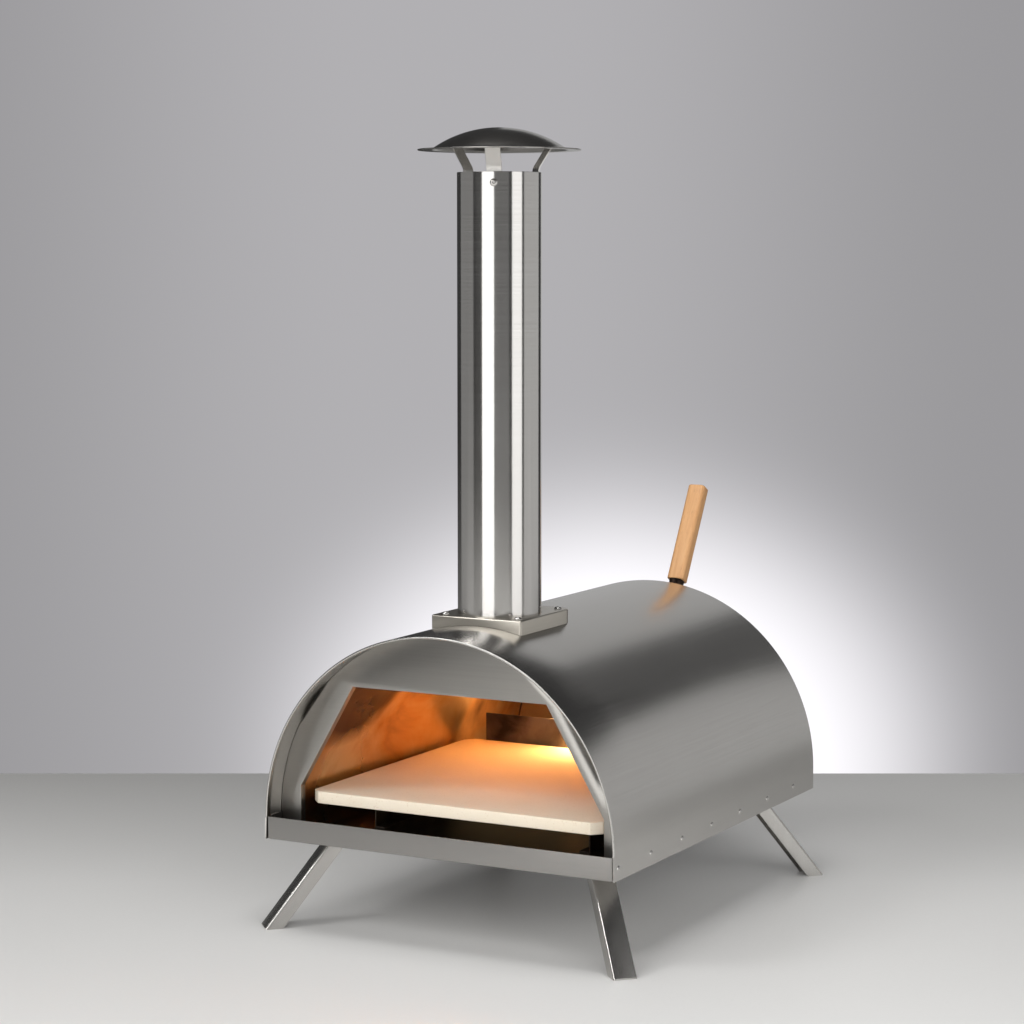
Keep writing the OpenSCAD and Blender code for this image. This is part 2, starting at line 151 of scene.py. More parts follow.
@dataclass(frozen=True)
class BrushedSteel(Finish):
    """Stainless sheet with a long-grain brushed surface.

    Real lines are about 0.1 mm apart, too fine to show, so they are drawn as coarse as line.
    The lines spread each reflection across themselves, and hand marks change the gloss softly.
    """

    name: str
    light: str = "#c9c7c3"
    dark: str = "#bebbb7"
    roughness: float = 0.22
    spread: float = 0.05
    grain: Grain = Grain.ALONG_Y
    line: float = 1.1
    length: float = 160.0
    relief: float = 0.004
    anisotropy: float = 0.75

    def build(self, tree: bpy.types.NodeTree) -> None:
        """Fills the node tree.

        Args:
            tree: Empty node tree of the new material.
        """
        across, along = 1 / mm(self.line), 1 / mm(self.length)
        run, fixed = self.grain.value
        scale = tuple(along if part else across for part in run)
        coords = add(tree, "ShaderNodeTexCoord")
        mapping = add(tree, "ShaderNodeMapping", {"Vector": coords.outputs["Object"], "Scale": scale})
        lines = add(tree, "ShaderNodeTexNoise",
                    {"Vector": mapping.outputs[0], "Scale": 1.0, "Detail": 4.0, "Roughness": 0.65})
        marks = add(tree, "ShaderNodeTexNoise",
                    {"Vector": coords.outputs["Object"], "Scale": 1 / mm(90), "Detail": 3.0})
        mixed = add(tree, "ShaderNodeMix",
                    {0: 0.3, 2: lines.outputs[0], 3: marks.outputs[0]}, data_type="FLOAT")
        rough = add(tree, "ShaderNodeMapRange", {
            0: mixed.outputs[0], 1: 0.3, 2: 0.7,
            3: self.roughness - self.spread / 2, 4: self.roughness + self.spread / 2})
        tone = add(tree, "ShaderNodeValToRGB", {0: mixed.outputs[0]})
        tone.color_ramp.elements[0].position = 0.3
        tone.color_ramp.elements[0].color = linear(self.dark)
        tone.color_ramp.elements[1].position = 0.7
        tone.color_ramp.elements[1].color = linear(self.light)
        bump = add(tree, "ShaderNodeBump",
                   {"Height": lines.outputs[0], "Strength": 0.35, "Distance": mm(self.relief)})
        skin = add(tree, "ShaderNodeNewGeometry")
        spread_way = add(tree, "ShaderNodeVectorMath", {0: skin.outputs["Normal"], 1: run},
                         operation="CROSS_PRODUCT")
        if fixed:
            spread_way = add(tree, "ShaderNodeCombineXYZ", {0: fixed[0], 1: fixed[1], 2: fixed[2]})
        surface = add(tree, "ShaderNodeBsdfPrincipled", {
            "Base Color": tone.outputs[0], "Metallic": 1.0, "Roughness": rough.outputs[0],
            "Normal": bump.outputs[0], "Tangent": spread_way.outputs[0],
            "Anisotropic": self.anisotropy})
        add(tree, "ShaderNodeOutputMaterial", {"Surface": surface.outputs[0]})


@dataclass(frozen=True)
class HeatTintedSteel(Finish):
    """Stainless sheet that has been heated: straw and bronze oxide colours in soft clouds, a little sooty."""

    name: str
    straw: str = "#e6d2ac"
    bronze: str = "#c08f5c"
    soot: str = "#33190f"
    roughness: float = 0.24
    cloud: float = 120.0
    bloom: tuple[float, float, float] = (148.0, 100.0, 150.0)
    bloom_r: float = 0.0

    def build(self, tree: bpy.types.NodeTree) -> None:
        """Fills the node tree.

        Args:
            tree: Empty node tree of the new material.
        """
        coords = add(tree, "ShaderNodeTexCoord")
        clouds = add(tree, "ShaderNodeTexNoise",
                     {"Vector": coords.outputs["Object"], "Scale": 1 / mm(self.cloud), "Detail": 5.0,
                      "Distortion": 0.6})
        tone = add(tree, "ShaderNodeValToRGB", {0: clouds.outputs[0]})
        ramp = tone.color_ramp
        ramp.elements[0].position, ramp.elements[0].color = 0.3, linear(self.soot)
        ramp.elements[1].position, ramp.elements[1].color = 0.68, linear(self.straw)
        ramp.elements.new(0.46).color = linear(self.bronze)
        colour = self.sooted(tree, tone.outputs[0], clouds.outputs[0], coords.outputs["Object"])
        rough = add(tree, "ShaderNodeMapRange", {
            0: clouds.outputs[0], 1: 0.3, 2: 0.7, 3: self.roughness + 0.15, 4: self.roughness})
        grit = add(tree, "ShaderNodeTexNoise",
                   {"Vector": coords.outputs["Object"], "Scale": 1 / mm(1.5), "Detail": 2.0})
        bump = add(tree, "ShaderNodeBump",
                   {"Height": grit.outputs[0], "Strength": 0.3, "Distance": mm(0.03)})
        surface = add(tree, "ShaderNodeBsdfPrincipled", {
            "Base Color": colour, "Metallic": 1.0, "Roughness": rough.outputs[0],
            "Normal": bump.outputs[0]})
        add(tree, "ShaderNodeOutputMaterial", {"Surface": surface.outputs[0]})

    def sooted(self, tree: bpy.types.NodeTree, tone: bpy.types.NodeSocket, clouds: bpy.types.NodeSocket,
               place: bpy.types.NodeSocket) -> bpy.types.NodeSocket:
        """Darkens a round bloom on each side, where bloom_r is above 0.

        Args:
            tree: Node tree of the material.
            tone: Colour without the bloom.
            clouds: Noise that frays the bloom's rim.
            place: Object coordinates.

        Returns:
            The colour with the bloom.
        """
        if not self.bloom_r:
            return tone
        parts = add(tree, "ShaderNodeSeparateXYZ", {0: place})
        across = add(tree, "ShaderNodeMath", {0: parts.outputs[0]}, operation="ABSOLUTE")
        spot = add(tree, "ShaderNodeCombineXYZ", {0: across.outputs[0], 1: parts.outputs[1], 2: parts.outputs[2]})
        away = add(tree, "ShaderNodeVectorMath", {0: spot.outputs[0], 1: at(*self.bloom)}, operation="DISTANCE")
        frayed = add(tree, "ShaderNodeMath", {0: clouds, 1: mm(40), 2: away.outputs["Value"]},
                     operation="MULTIPLY_ADD")
        mask = add(tree, "ShaderNodeMapRange", {
            0: frayed.outputs[0], 1: mm(self.bloom_r + 32), 2: mm(self.bloom_r + 8), 3: 0.0, 4: 0.92})
        mixed = add(tree, "ShaderNodeMix", {0: mask.outputs[0], 6: tone, 7: linear(self.soot)},
                    data_type="RGBA")
        return mixed.outputs[2]


@dataclass(frozen=True)
class Cordierite(Finish):
    """Pressed and fired cordierite: matt cream with fine dark grit, small pores and a toasted bloom."""

    name: str
    cream: str = "#e0d6c5"
    sand: str = "#d8cbb5"
    grit: str = "#b79c78"
    pore: float = 2.2

    def build(self, tree: bpy.types.NodeTree) -> None:
        """Fills the node tree.

        Args:
            tree: Empty node tree of the new material.
        """
        coords = add(tree, "ShaderNodeTexCoord")
        clouds = add(tree, "ShaderNodeTexNoise",
                     {"Vector": coords.outputs["Object"], "Scale": 1 / mm(60), "Detail": 4.0})
        base = add(tree, "ShaderNodeMix", {0: clouds.outputs[0], 6: linear(self.sand), 7: linear(self.cream)},
                   data_type="RGBA")
        specks = add(tree, "ShaderNodeTexNoise",
                     {"Vector": coords.outputs["Object"], "Scale": 1 / mm(self.pore), "Detail": 3.0,
                      "Roughness": 0.7})
        mask = add(tree, "ShaderNodeMapRange", {0: specks.outputs[0], 1: 0.60, 2: 0.74, 3: 0.0, 4: 0.55})
        colour = add(tree, "ShaderNodeMix",
                     {0: mask.outputs[0], 6: base.outputs[2], 7: linear(self.grit)}, data_type="RGBA")
        bump = add(tree, "ShaderNodeBump",
                   {"Height": specks.outputs[0], "Strength": 0.5, "Distance": mm(0.25)}, invert=True)
        rough = add(tree, "ShaderNodeMapRange", {0: specks.outputs[0], 1: 0.3, 2: 0.7, 3: 0.8, 4: 0.95})
        surface = add(tree, "ShaderNodeBsdfPrincipled", {
            "Base Color": colour.outputs[2], "Roughness": rough.outputs[0], "Normal": bump.outputs[0]})
        add(tree, "ShaderNodeOutputMaterial", {"Surface": surface.outputs[0]})


@dataclass(frozen=True)
class Blanket(Finish):
    """Needled ceramic fibre: matt off-white wool with soft tufts."""

    name: str
    colour: str = "#e6e3da"
    shade: str = "#cfcabd"

    def build(self, tree: bpy.types.NodeTree) -> None:
        """Fills the node tree.

        Args:
            tree: Empty node tree of the new material.
        """
        coords = add(tree, "ShaderNodeTexCoord")
        tufts = add(tree, "ShaderNodeTexNoise",
                    {"Vector": coords.outputs["Object"], "Scale": 1 / mm(6), "Detail": 6.0})
        colour = add(tree, "ShaderNodeMix",
                     {0: tufts.outputs[0], 6: linear(self.shade), 7: linear(self.colour)}, data_type="RGBA")
        bump = add(tree, "ShaderNodeBump", {"Height": tufts.outputs[0], "Distance": mm(1)})
        surface = add(tree, "ShaderNodeBsdfPrincipled", {
            "Base Color": colour.outputs[2], "Roughness": 0.95, "Sheen Weight": 0.3,
            "Normal": bump.outputs[0]})
        add(tree, "ShaderNodeOutputMaterial", {"Surface": surface.outputs[0]})


@dataclass(frozen=True)
class Beech(Finish):
    """Turned and sanded beech: warm, straight grain along the handle with short dark flecks."""

    name: str
    light: str = "#dcae7c"
    dark: str = "#b98352"
    fleck: str = "#8d5b35"
    lean: float = 29.7
    ring: float = 5.0

    def build(self, tree: bpy.types.NodeTree) -> None:
        """Fills the node tree.

        Args:
            tree: Empty node tree of the new material.
        """
        coords = add(tree, "ShaderNodeTexCoord")
        upright = add(tree, "ShaderNodeVectorRotate", {
            "Vector": coords.outputs["Object"], "Axis": (1, 0, 0), "Angle": math.radians(self.lean)})
        stretch = add(tree, "ShaderNodeMapping", {
            "Vector": upright.outputs[0],
            "Scale": (1 / mm(self.ring), 1 / mm(self.ring), 1 / mm(self.ring * 14))})
        rings = add(tree, "ShaderNodeTexNoise", {
            "Vector": stretch.outputs[0], "Scale": 1.2, "Detail": 4.0, "Distortion": 0.8})
        colour = add(tree, "ShaderNodeMix",
                     {0: rings.outputs[0], 6: linear(self.dark), 7: linear(self.light)}, data_type="RGBA")
        fine = add(tree, "ShaderNodeMapping", {
            "Vector": upright.outputs[0], "Scale": (1 / mm(0.7), 1 / mm(0.7), 1 / mm(9))})
        flecks = add(tree, "ShaderNodeTexNoise", {"Vector": fine.outputs[0], "Scale": 1.0, "Detail": 3.0})
        mask = add(tree, "ShaderNodeMapRange", {0: flecks.outputs[0], 1: 0.58, 2: 0.75, 3: 0.0, 4: 0.6})
        marked = add(tree, "ShaderNodeMix",
                     {0: mask.outputs[0], 6: colour.outputs[2], 7: linear(self.fleck)}, data_type="RGBA")
        bump = add(tree, "ShaderNodeBump",
                   {"Height": flecks.outputs[0], "Strength": 0.4, "Distance": mm(0.08)}, invert=True)
        rough = add(tree, "ShaderNodeMapRange", {0: rings.outputs[0], 1: 0.3, 2: 0.7, 3: 0.58, 4: 0.45})
        surface = add(tree, "ShaderNodeBsdfPrincipled", {
            "Base Color": marked.outputs[2], "Roughness": rough.outputs[0], "Normal": bump.outputs[0]})
        add(tree, "ShaderNodeOutputMaterial", {"Surface": surface.outputs[0]})


# Long-grain brushed 430 sheet: soft bands along the depth, with fine streaks in them
SHELL_STEEL = BrushedSteel("brushed_shell_steel")
# The same sheet, brushed across, with painted shade: coloured darker than the shell to stand for the shade on the
# low pan
PAINTED_SHADE_PAN_STEEL = BrushedSteel("brushed_pan_steel_painted_shade", light="#9e9c99", dark="#959390", grain=Grain.ALONG_X)
# Satin sheet: an even, quiet grey without sharp reflections
FACE_STEEL = BrushedSteel("satin_face_steel", light="#aaa7a2", dark="#a3a09b", roughness=0.3,
                          spread=0.04, anisotropy=0.4, grain=Grain.ALONG_X)
# Centreless-ground tube: grinding lines run round it, so bands stay sharp along its length
TUBE_STEEL = BrushedSteel("ground_tube_steel", light="#d6d4d1", dark="#cbc8c4", roughness=0.15,
                          spread=0.05, grain=Grain.AROUND_Z, line=0.8, relief=0.003)
# Satin sheet with a warm cast from the flue's heat
BASE_STEEL = BrushedSteel("satin_base_steel", light="#cfc9be", dark="#c6c0b5", roughness=0.32,
                          grain=Grain.AROUND_Z, anisotropy=0.4)
# Bright sheet, dulled a little where the press drew it
CAP_STEEL = BrushedSteel("pressed_cap_steel", light="#aaa7a3", dark="#9d9a96", roughness=0.2,
                         spread=0.06, grain=Grain.ALONG_X, length=40, anisotropy=0.3)
# Bright-finished channel: clear edges and clean bends
LEG_STEEL = BrushedSteel("bright_leg_steel", light="#c4c2be", dark="#bcb9b5", roughness=0.25,
                         spread=0.04, grain=Grain.ALONG_Z, line=6, length=60, relief=0.001,
                         anisotropy=0.0)
# Rolled and tumbled screws, nuts and rivets: small even highlights
FASTENER_STEEL = BrushedSteel("rolled_fastener_steel", light="#cfcdca", dark="#bdbab6",
                              roughness=0.25, length=2, anisotropy=0.0)
# Sheet blackened by the fire: scale and soot, hardly any shine
BURNER_STEEL = HeatTintedSteel("heat_blackened_steel", straw="#7d736a", bronze="#5a504a",
                               soot="#332e2b", roughness=0.42, cloud=40)
# Blackened turning: dark brown with a dull shine
FERRULE_STEEL = HeatTintedSteel("blackened_ferrule_steel", straw="#4d4038", bronze="#382e29",
                                soot="#211c1a", roughness=0.4, cloud=12)
# Thin bright sheet after firing: straw, bronze and soot in clouds
LINER_STEEL = HeatTintedSteel("heat_tinted_liner_steel", bloom_r=66)
# Pressed and fired cordierite: matt cream with grit
STONE = Cordierite("pressed_cordierite")
# Needled wool: no shine at all
BLANKET = Blanket("ceramic_fibre_blanket")
# Sanded and oiled beech: warm, with a low sheen
BEECH = Beech("sanded_beech")


# ---------------------------------------------------------------- making pieces


class Work:
    """A piece while it is being made.

    It starts as a skin without thickness, or as a solid, in millimetres of a given frame. done()
    gives a skin its thickness behind the side that shows, eases the edges and dresses the piece.
    """

    def __init__(self, name: str, place: Optional[Matrix] = None) -> None:
        """Starts an empty piece.

        Args:
            name: Name of the finished object.
            place: Where the piece's own millimetre frame stands, or None for the oven's datum.
        """
        self.name = name
        self.place = place or DATUM
        self.bm = bmesh.new()

    def chain(self, points: Sequence[tuple[float, float, float]], closed: bool = False) -> list:
        """Joins points with edges.

        Args:
            points: Points in order.
            closed: Whether the last point is joined to the first.

        Returns:
            The new edges.
        """
        verts = [self.bm.verts.new(point) for point in points]
        ends = verts[1:] + verts[:1] if closed else verts[1:]
        return [self.bm.edges.new(pair) for pair in zip(verts, ends)]

    def plate(self, points: Sequence[tuple[float, float, float]]) -> bmesh.types.BMFace:
        """Fills a flat outline with one face.

        Args:
            points: Corners in order.

        Returns:
            The face.
        """
        edges = self.chain(points, closed=True)
        return bmesh.ops.contextual_create(self.bm, geom=edges)["faces"][0]

    def pull(self, edges: Iterable, offset: tuple[float, float, float]) -> list:
        """Pulls edges along a straight way, which makes walls.

        Args:
            edges: Edges that move.
            offset: Way in millimetres.

        Returns:
            The moved edges.
        """
        new = bmesh.ops.extrude_edge_only(self.bm, edges=list(edges))["geom"]
        bmesh.ops.translate(self.bm, vec=offset, verts=[v for v in new if isinstance(v, bmesh.types.BMVert)])
        return [e for e in new if isinstance(e, bmesh.types.BMEdge)]

    def turn(self, geom: Iterable, centre: tuple, axis: tuple, degrees: float, steps: int) -> list:
        """Spins edges or points about an axis.

        Args:
            geom: What is spun.
            centre: Point on the axis.
            axis: Direction of the axis.
            degrees: Angle, 360 for a closed turn.
            steps: Number of steps.

        Returns:
            The geometry at the end of the turn.
        """
        full = abs(degrees) >= 360
        out = bmesh.ops.spin(self.bm, geom=list(geom), cent=centre, axis=axis, angle=math.radians(degrees),
                             steps=steps, use_merge=full)["geom_last"]
        return [g for g in out if isinstance(g, bmesh.types.BMEdge)] or out

    def thicken(self, faces: Iterable, offset: tuple[float, float, float]) -> None:
        """Makes a solid from a flat outline.

        Args:
            faces: Faces of the outline.
            offset: Way to the opposite side, in millimetres.
        """
        new = bmesh.ops.extrude_face_region(self.bm, geom=list(faces), use_keep_orig=True)["geom"]
        bmesh.ops.translate(self.bm, vec=offset, verts=[v for v in new if isinstance(v, bmesh.types.BMVert)])

    def edges_where(self, test: Callable[[Vector, Vector], bool]) -> list:
        """Edges whose two ends pass a test.

        Args:
            test: Gets the two end points.

        Returns:
            The edges.
        """
        return [e for e in self.bm.edges if test(e.verts[0].co, e.verts[1].co)]

    def round(self, edges: Iterable, radius: float, segments: int = 3) -> None:
        """Rounds edges or folds.

        Args:
            edges: Edges to be rounded.
            radius: Distance from the edge at which the rounding starts, in millimetres.
            segments: Steps of the rounding.
        """
        bmesh.ops.bevel(self.bm, geom=list(edges), offset=radius, offset_type="OFFSET", segments=segments,
                        profile=0.5, affect="EDGES", clamp_overlap=True, material=-1)

    def fold(self, radius: float, segments: int = 3, over: float = 20.0) -> None:
        """Rounds every fold of a skin.

        Args:
            radius: Distance from the fold at which the bend starts, in millimetres.
            segments: Steps of the bend.
            over: Smallest angle in degrees that counts as a fold.
        """
        self.weld()
        limit = math.radians(over)
        folds = [e for e in self.bm.edges if len(e.link_faces) == 2 and e.calc_face_angle(0.0) > limit]
        self.round(folds, radius, segments)

    def weld(self) -> None:
        """Merges doubles and makes the faces agree on their outward side."""
        bmesh.ops.remove_doubles(self.bm, verts=self.bm.verts, dist=1e-4)
        bmesh.ops.recalc_face_normals(self.bm, faces=self.bm.faces)

    def show_side(self, eye: tuple[float, float, float]) -> None:
        """Turns a skin so that the face nearest to a point looks at that point.

        Args:
            eye: Point on the side that shows.
        """
        self.weld()
        point = Vector(eye)
        near = min(self.bm.faces, key=lambda f: (f.calc_center_median() - point).length)
        if near.normal.dot(point - near.calc_center_median()) < 0:
            bmesh.ops.reverse_faces(self.bm, faces=self.bm.faces)

    def cut(self, point: tuple, normal: tuple) -> None:
        """Cuts off what lies beyond a plane.

        Args:
            point: Point on the plane.
            normal: Direction of the side that goes.
        """
        geom = [*self.bm.verts, *self.bm.edges, *self.bm.faces]
        bmesh.ops.bisect_plane(self.bm, geom=geom, plane_co=point, plane_no=normal, clear_outer=True)

    def object(self) -> bpy.types.Object:
        """Turns the piece to an object in metres, in the model's frame."""
        bmesh.ops.transform(self.bm, matrix=self.place, verts=self.bm.verts)
        mesh = bpy.data.meshes.new(self.name)
        self.bm.to_mesh(mesh)
        self.bm.free()
        obj = bpy.data.objects.new(self.name, mesh)
        bpy.context.scene.collection.objects.link(obj)
        return obj

    def done(self, dress: "Dress", nodes: Sequence[str], body: str = "root", sheet: float = 0.0,
             edge: float = 0.3, cuts: Sequence["Work"] = (), smooth: float = 35.0) -> bpy.types.Object:
        """Finishes the piece.

        Args:
            dress: Material, and a slot name that done() does not use.
            nodes: CAD nodes that it stands for.
            body: Body that it rides on.
            sheet: Thickness in millimetres given to a skin, or 0 for a solid.
            edge: Radius in millimetres of the eased edges, or 0 for none.
            cuts: Solids taken out of the piece.
            smooth: Largest angle in degrees that is shaded smooth.

        Returns:
            The finished object.
        """
        obj = self.object()
        obj.data.materials.append(dress.finish.material())
        obj.data.shade_smooth()
        obj.data.set_sharp_from_angle(angle=math.radians(smooth))
        if sheet:
            solid = obj.modifiers.new("thickness", "SOLIDIFY")
            solid.thickness, solid.offset, solid.use_even_offset = mm(sheet), -1.0, True
        cutters = [cutter.object() for cutter in cuts]
        for cutter in cutters:
            hole = obj.modifiers.new("cut", "BOOLEAN")
            hole.operation, hole.object, hole.solver = "DIFFERENCE", cutter, "EXACT"
        if edge:
            ease = obj.modifiers.new("eased_edges", "BEVEL")
            ease.width, ease.segments, ease.limit_method = mm(edge), 2, "ANGLE"
            ease.angle_limit, ease.harden_normals, ease.use_clamp_overlap = math.radians(40), True, True
        if cutters:
            graph = bpy.context.evaluated_depsgraph_get()
            baked = bpy.data.meshes.new_from_object(obj.evaluated_get(graph))
            obj.modifiers.clear()
            rough, obj.data = obj.data, baked
            bpy.data.meshes.remove(rough)
            baked.name = self.name
            for cutter in cutters:
                bpy.data.objects.remove(cutter)
        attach(obj, body)
        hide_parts(*nodes)
        log.info("%s: %d faces, stands for %s, rides on %s", obj.name, len(obj.data.polygons),
                 ", ".join(nodes), body)
        return obj


@dataclass(frozen=True)
class Dress:
    """Material of a piece, and the name of the record's slot meant for it; the slot is only kept, not filled."""

    finish: Finish
    slot: str


DATUM = Matrix.Translation(at(0, 0, 0)) @ Matrix.Scale(0.001, 4)


def box_solid(name: str, low: tuple, high: tuple, place: Optional[Matrix] = None) -> Work:
    """A plain box between two corners, used to cut holes and to start bars.

    Args:
        name: Name of the piece.
        low: Lowest corner in millimetres.
        high: Highest corner in millimetres.
        place: Frame of the box, or None for the oven's datum.

    Returns:
        The unfinished piece.
    """
    work = Work(name, place)
    made = bmesh.ops.create_cube(work.bm, size=1.0)["verts"]
    bmesh.ops.scale(work.bm, vec=[h - l for l, h in zip(low, high)], verts=made)
    bmesh.ops.translate(work.bm, vec=[(h + l) / 2 for l, h in zip(low, high)], verts=made)
    return work


def round_solid(name: str, radius: float, low: float, high: float, place: Matrix, steps: int = 96) -> Work:
    """A cylinder along its frame's Z, used to cut holes.

    Args:
        name: Name of the piece.
        radius: Radius in millimetres.
        low: Lower end.
        high: Upper end.
        place: Frame of the cylinder.
        steps: Number of sides.

    Returns:
        The unfinished piece.
    """
    work = Work(name, place)
    made = bmesh.ops.create_cone(work.bm, cap_ends=True, segments=steps, radius1=radius, radius2=radius,
                                 depth=high - low)["verts"]
    bmesh.ops.translate(work.bm, vec=(0, 0, (high + low) / 2), verts=made)
    return work


def turned(work: Work, profile: Sequence[tuple[float, float]], steps: int = 48,
           place: Optional[Matrix] = None) -> None:
    """Adds a turned shape about its frame's Z.

    Args:
        work: Piece that gets the shape.
        profile: Radius and height of each point, in millimetres.
        steps: Number of sides.
        place: Where the shape stands in the piece's frame, or None for its origin.
    """
    before = set(work.bm.verts)
    edges = work.chain([(r, 0, z) for r, z in profile])
    verts = {v for e in edges for v in e.verts}
    work.turn([*verts, *edges], (0, 0, 0), (0, 0, 1), 360, steps)
    fresh = [v for v in work.bm.verts if v not in before]
    bmesh.ops.remove_doubles(work.bm, verts=fresh, dist=1e-4)
    if place is not None:
        fresh = [v for v in work.bm.verts if v not in before]
        bmesh.ops.transform(work.bm, matrix=place, verts=fresh)


def dome_profile(radius: float, height: float, low: float, steps: int = 5) -> list[tuple[float, float]]:
    """Profile of a domed head with its stem.

    Args:
        radius: Radius of the head.
        height: Height of the head.
        low: Height of the stem's end, below zero.
        steps: Steps of the dome.

    Returns:
        Radius and height of each point, from the top of the dome to the stem's end.
    """
    ball = (radius ** 2 + height ** 2) / (2 * height)
    reach = math.asin(min(1.0, radius / ball))
    dome = [(ball * math.sin(reach * i / steps), height - ball + ball * math.cos(reach * i / steps))
            for i in range(steps + 1)]
    return [*dome, (2.0, 0.0), (2.0, low), (0.0, low)]


# ---------------------------------------------------------------- the oven's own pieces


@dataclass
class Body:
    """Pan, vaulted shell, face plate, rear panel and liner: everything bent from sheet round the chamber."""

    width: float = 400.0
    depth: float = 507.0
    lip: float = 23.5
    sheet: float = 1.2
    gap: float = 0.2
    hem: float = 7.0
    face: float = 29.0
    mouth_w: float = 349.0
    mouth_top_w: float = 222.0
    mouth_side: float = 53.0
    mouth_top: float = 161.0
    liner: float = 177.0
    flue_y: float = 137.5
    flue_r: float = 45.9
    steps: int = 96
    breaks: tuple[float, ...] = (0.0, 84.0, 190.0, 300.0, 400.0, 507.0)

    def build(self) -> None:
        """Builds every sheet of the body."""
        self.shell()
        self.pan()
        self.face_plate()
        self.rear_panel()
        self.liner_sheet()
        self.rivets()

    @property
    def panel(self) -> float:
        """Radius of the panels that fill the shell."""
        return self.width / 2 - self.sheet - self.gap

    def flue_hole(self) -> Work:
        """Round hole for the flue, as a solid to be taken out."""
        place = Matrix.Translation(at(0, self.flue_y, 0)) @ Matrix.Scale(0.001, 4)
        return round_solid("flue_hole", self.flue_r, 120, 400, place)

    def vault(self, work: Work, radius: float, spans: Sequence[float], low: float) -> None:
        """Adds a half-round vault on straight sides.

        Args:
            work: Piece that gets the vault.
            radius: Radius of the vault.
            spans: Places along the depth where the sheet is divided.
            low: Height of the sides' lower edge.
        """
        side = work.chain([(radius, y, low) for y in spans])
        if low < self.lip:
            side = work.pull(side, (0, 0, self.lip - low))
        verts = {v for e in side for v in e.verts}
        left = work.turn([*verts, *side], (0, 0, self.lip), (0, 1, 0), -180, self.steps)
        if low < self.lip:
            work.pull(left, (0, 0, low - self.lip))

    def shell(self) -> None:
        """Outer shell with the folded hem on its front rim."""
        work = Work("vault_shell_sheet")
        radius = self.width / 2
        self.vault(work, radius, self.breaks, 0.0)
        work.weld()
        rim = work.edges_where(lambda a, b: max(a.y, b.y) < TINY and min(a.z, b.z) > self.lip - TINY)
        hem = work.pull(rim, (0, 0, 0))
        shrink = 1 - (2 * self.sheet + 0.1) / radius
        for vert in {v for e in hem for v in e.verts}:
            vert.co.x *= shrink
            vert.co.z = self.lip + (vert.co.z - self.lip) * shrink
        work.pull(hem, (0, self.hem, 0))
        work.fold(1.1, 4, over=60)
        work.show_side((0, 250, 400))
        work.done(Dress(SHELL_STEEL, "shell_steel"), ["outer_shell"], sheet=self.sheet, edge=0.25,
                  cuts=[self.flue_hole()])

    def pan(self) -> None:
        """Tray with an upturned lip all round and the burner's slot in its rear wall."""
        work = Work("base_pan_tray")
        half, deep = self.panel, self.depth - self.sheet - self.gap
        work.plate([(-half, 0, 0), (half, 0, 0), (half, deep, 0), (-half, deep, 0)])
        work.pull(list(work.bm.edges), (0, 0, self.lip))
        work.round(work.edges_where(lambda a, b: abs(a.z - b.z) > 10), 4.0, 6)
        work.fold(2.0, 4)
        work.show_side((0, 250, -60))
        slot = box_solid("slot", (-64, deep - 3, self.sheet), (64, deep + 3, 40))
        work.done(Dress(PAINTED_SHADE_PAN_STEEL, "pan_steel"), ["base_pan"], sheet=self.sheet, cuts=[slot])

    def mouth(self, low: float) -> list[tuple[float, float]]:
        """Outline of the mouth from its lower right corner round to its lower left one.

        Args:
            low: Height of the lower corners.

        Returns:
            X and Z of each corner.
        """
        side, top = self.mouth_w / 2, self.mouth_top_w / 2
        right = [(side, low), (side, self.mouth_side), (top, self.mouth_top)]
        return right + [(-x, z) for x, z in reversed(right)]

    def face_plate(self) -> None:
        """Face plate with a flange round the mouth and another along the shell."""
        work = Work("mouth_face_plate")
        low = self.sheet + self.gap
        rise = self.lip + self.gap
        narrow = self.panel - low
        start = work.bm.verts.new((self.panel, self.face, rise))
        work.turn([start], (0, self.face, rise), (0, 1, 0), -180, self.steps)
        arc = list(work.bm.edges)
        left = min(work.bm.verts, key=lambda v: v.co.x)
        ring = [left]
        outline = [(-narrow, rise), (-narrow, low)]
        outline += [(x, z) for x, z in reversed(self.mouth(low))]
        outline += [(narrow, low), (narrow, rise)]
        for x, z in outline:
            ring.append(work.bm.verts.new((x, self.face, z)))
        ring.append(start)
        for pair in zip(ring, ring[1:]):
            work.bm.edges.new(pair)
        bmesh.ops.contextual_create(work.bm, geom=list(work.bm.edges))
        inner = self.mouth_w / 2 + TINY
        mouth = work.edges_where(lambda a, b: max(abs(a.x), abs(b.x)) < inner and max(a.z, b.z) > low + 1
                                 and min(a.z, b.z) < self.mouth_top + TINY
                                 and max(a.z, b.z) < self.mouth_top + TINY)
        work.pull(arc, (0, 12, 0))
        work.pull(mouth, (0, 8, 0))
        work.fold(2.0, 4)
        work.show_side((0, -50, 190))
        work.done(Dress(FACE_STEEL, "face_steel"), ["face_plate"], sheet=self.sheet, edge=0.25)

    def rear_panel(self) -> None:
        """Rear panel with its flange, the burner's slot and the chute's hole."""
        work = Work("rear_closing_panel")
        rise = self.lip + self.gap
        start = work.bm.verts.new((self.panel, self.depth, rise))
        work.turn([start], (0, self.depth, rise), (0, 1, 0), -180, self.steps)
        arc = list(work.bm.edges)
        left = min(work.bm.verts, key=lambda v: v.co.x)
        corners = [work.bm.verts.new((x, self.depth, 0)) for x in (-self.panel, self.panel)]
        for pair in ((left, corners[0]), (corners[0], corners[1]), (corners[1], start)):
            work.bm.edges.new(pair)
        bmesh.ops.contextual_create(work.bm, geom=list(work.bm.edges))
        work.pull(arc, (0, -12, 0))
        work.fold(2.0, 4)
        work.show_side((0, self.depth + 60, 190))
        slot = box_solid("slot", (-64, self.depth - 5, -5), (64, self.depth + 5, 28))
        hole = box_solid("chute_hole", (-48.8, self.depth - 5, 37.5), (48.8, self.depth + 5, 166.7))
        work.done(Dress(SHELL_STEEL, "shell_steel"), ["rear_panel"], sheet=self.sheet, cuts=[slot, hole])

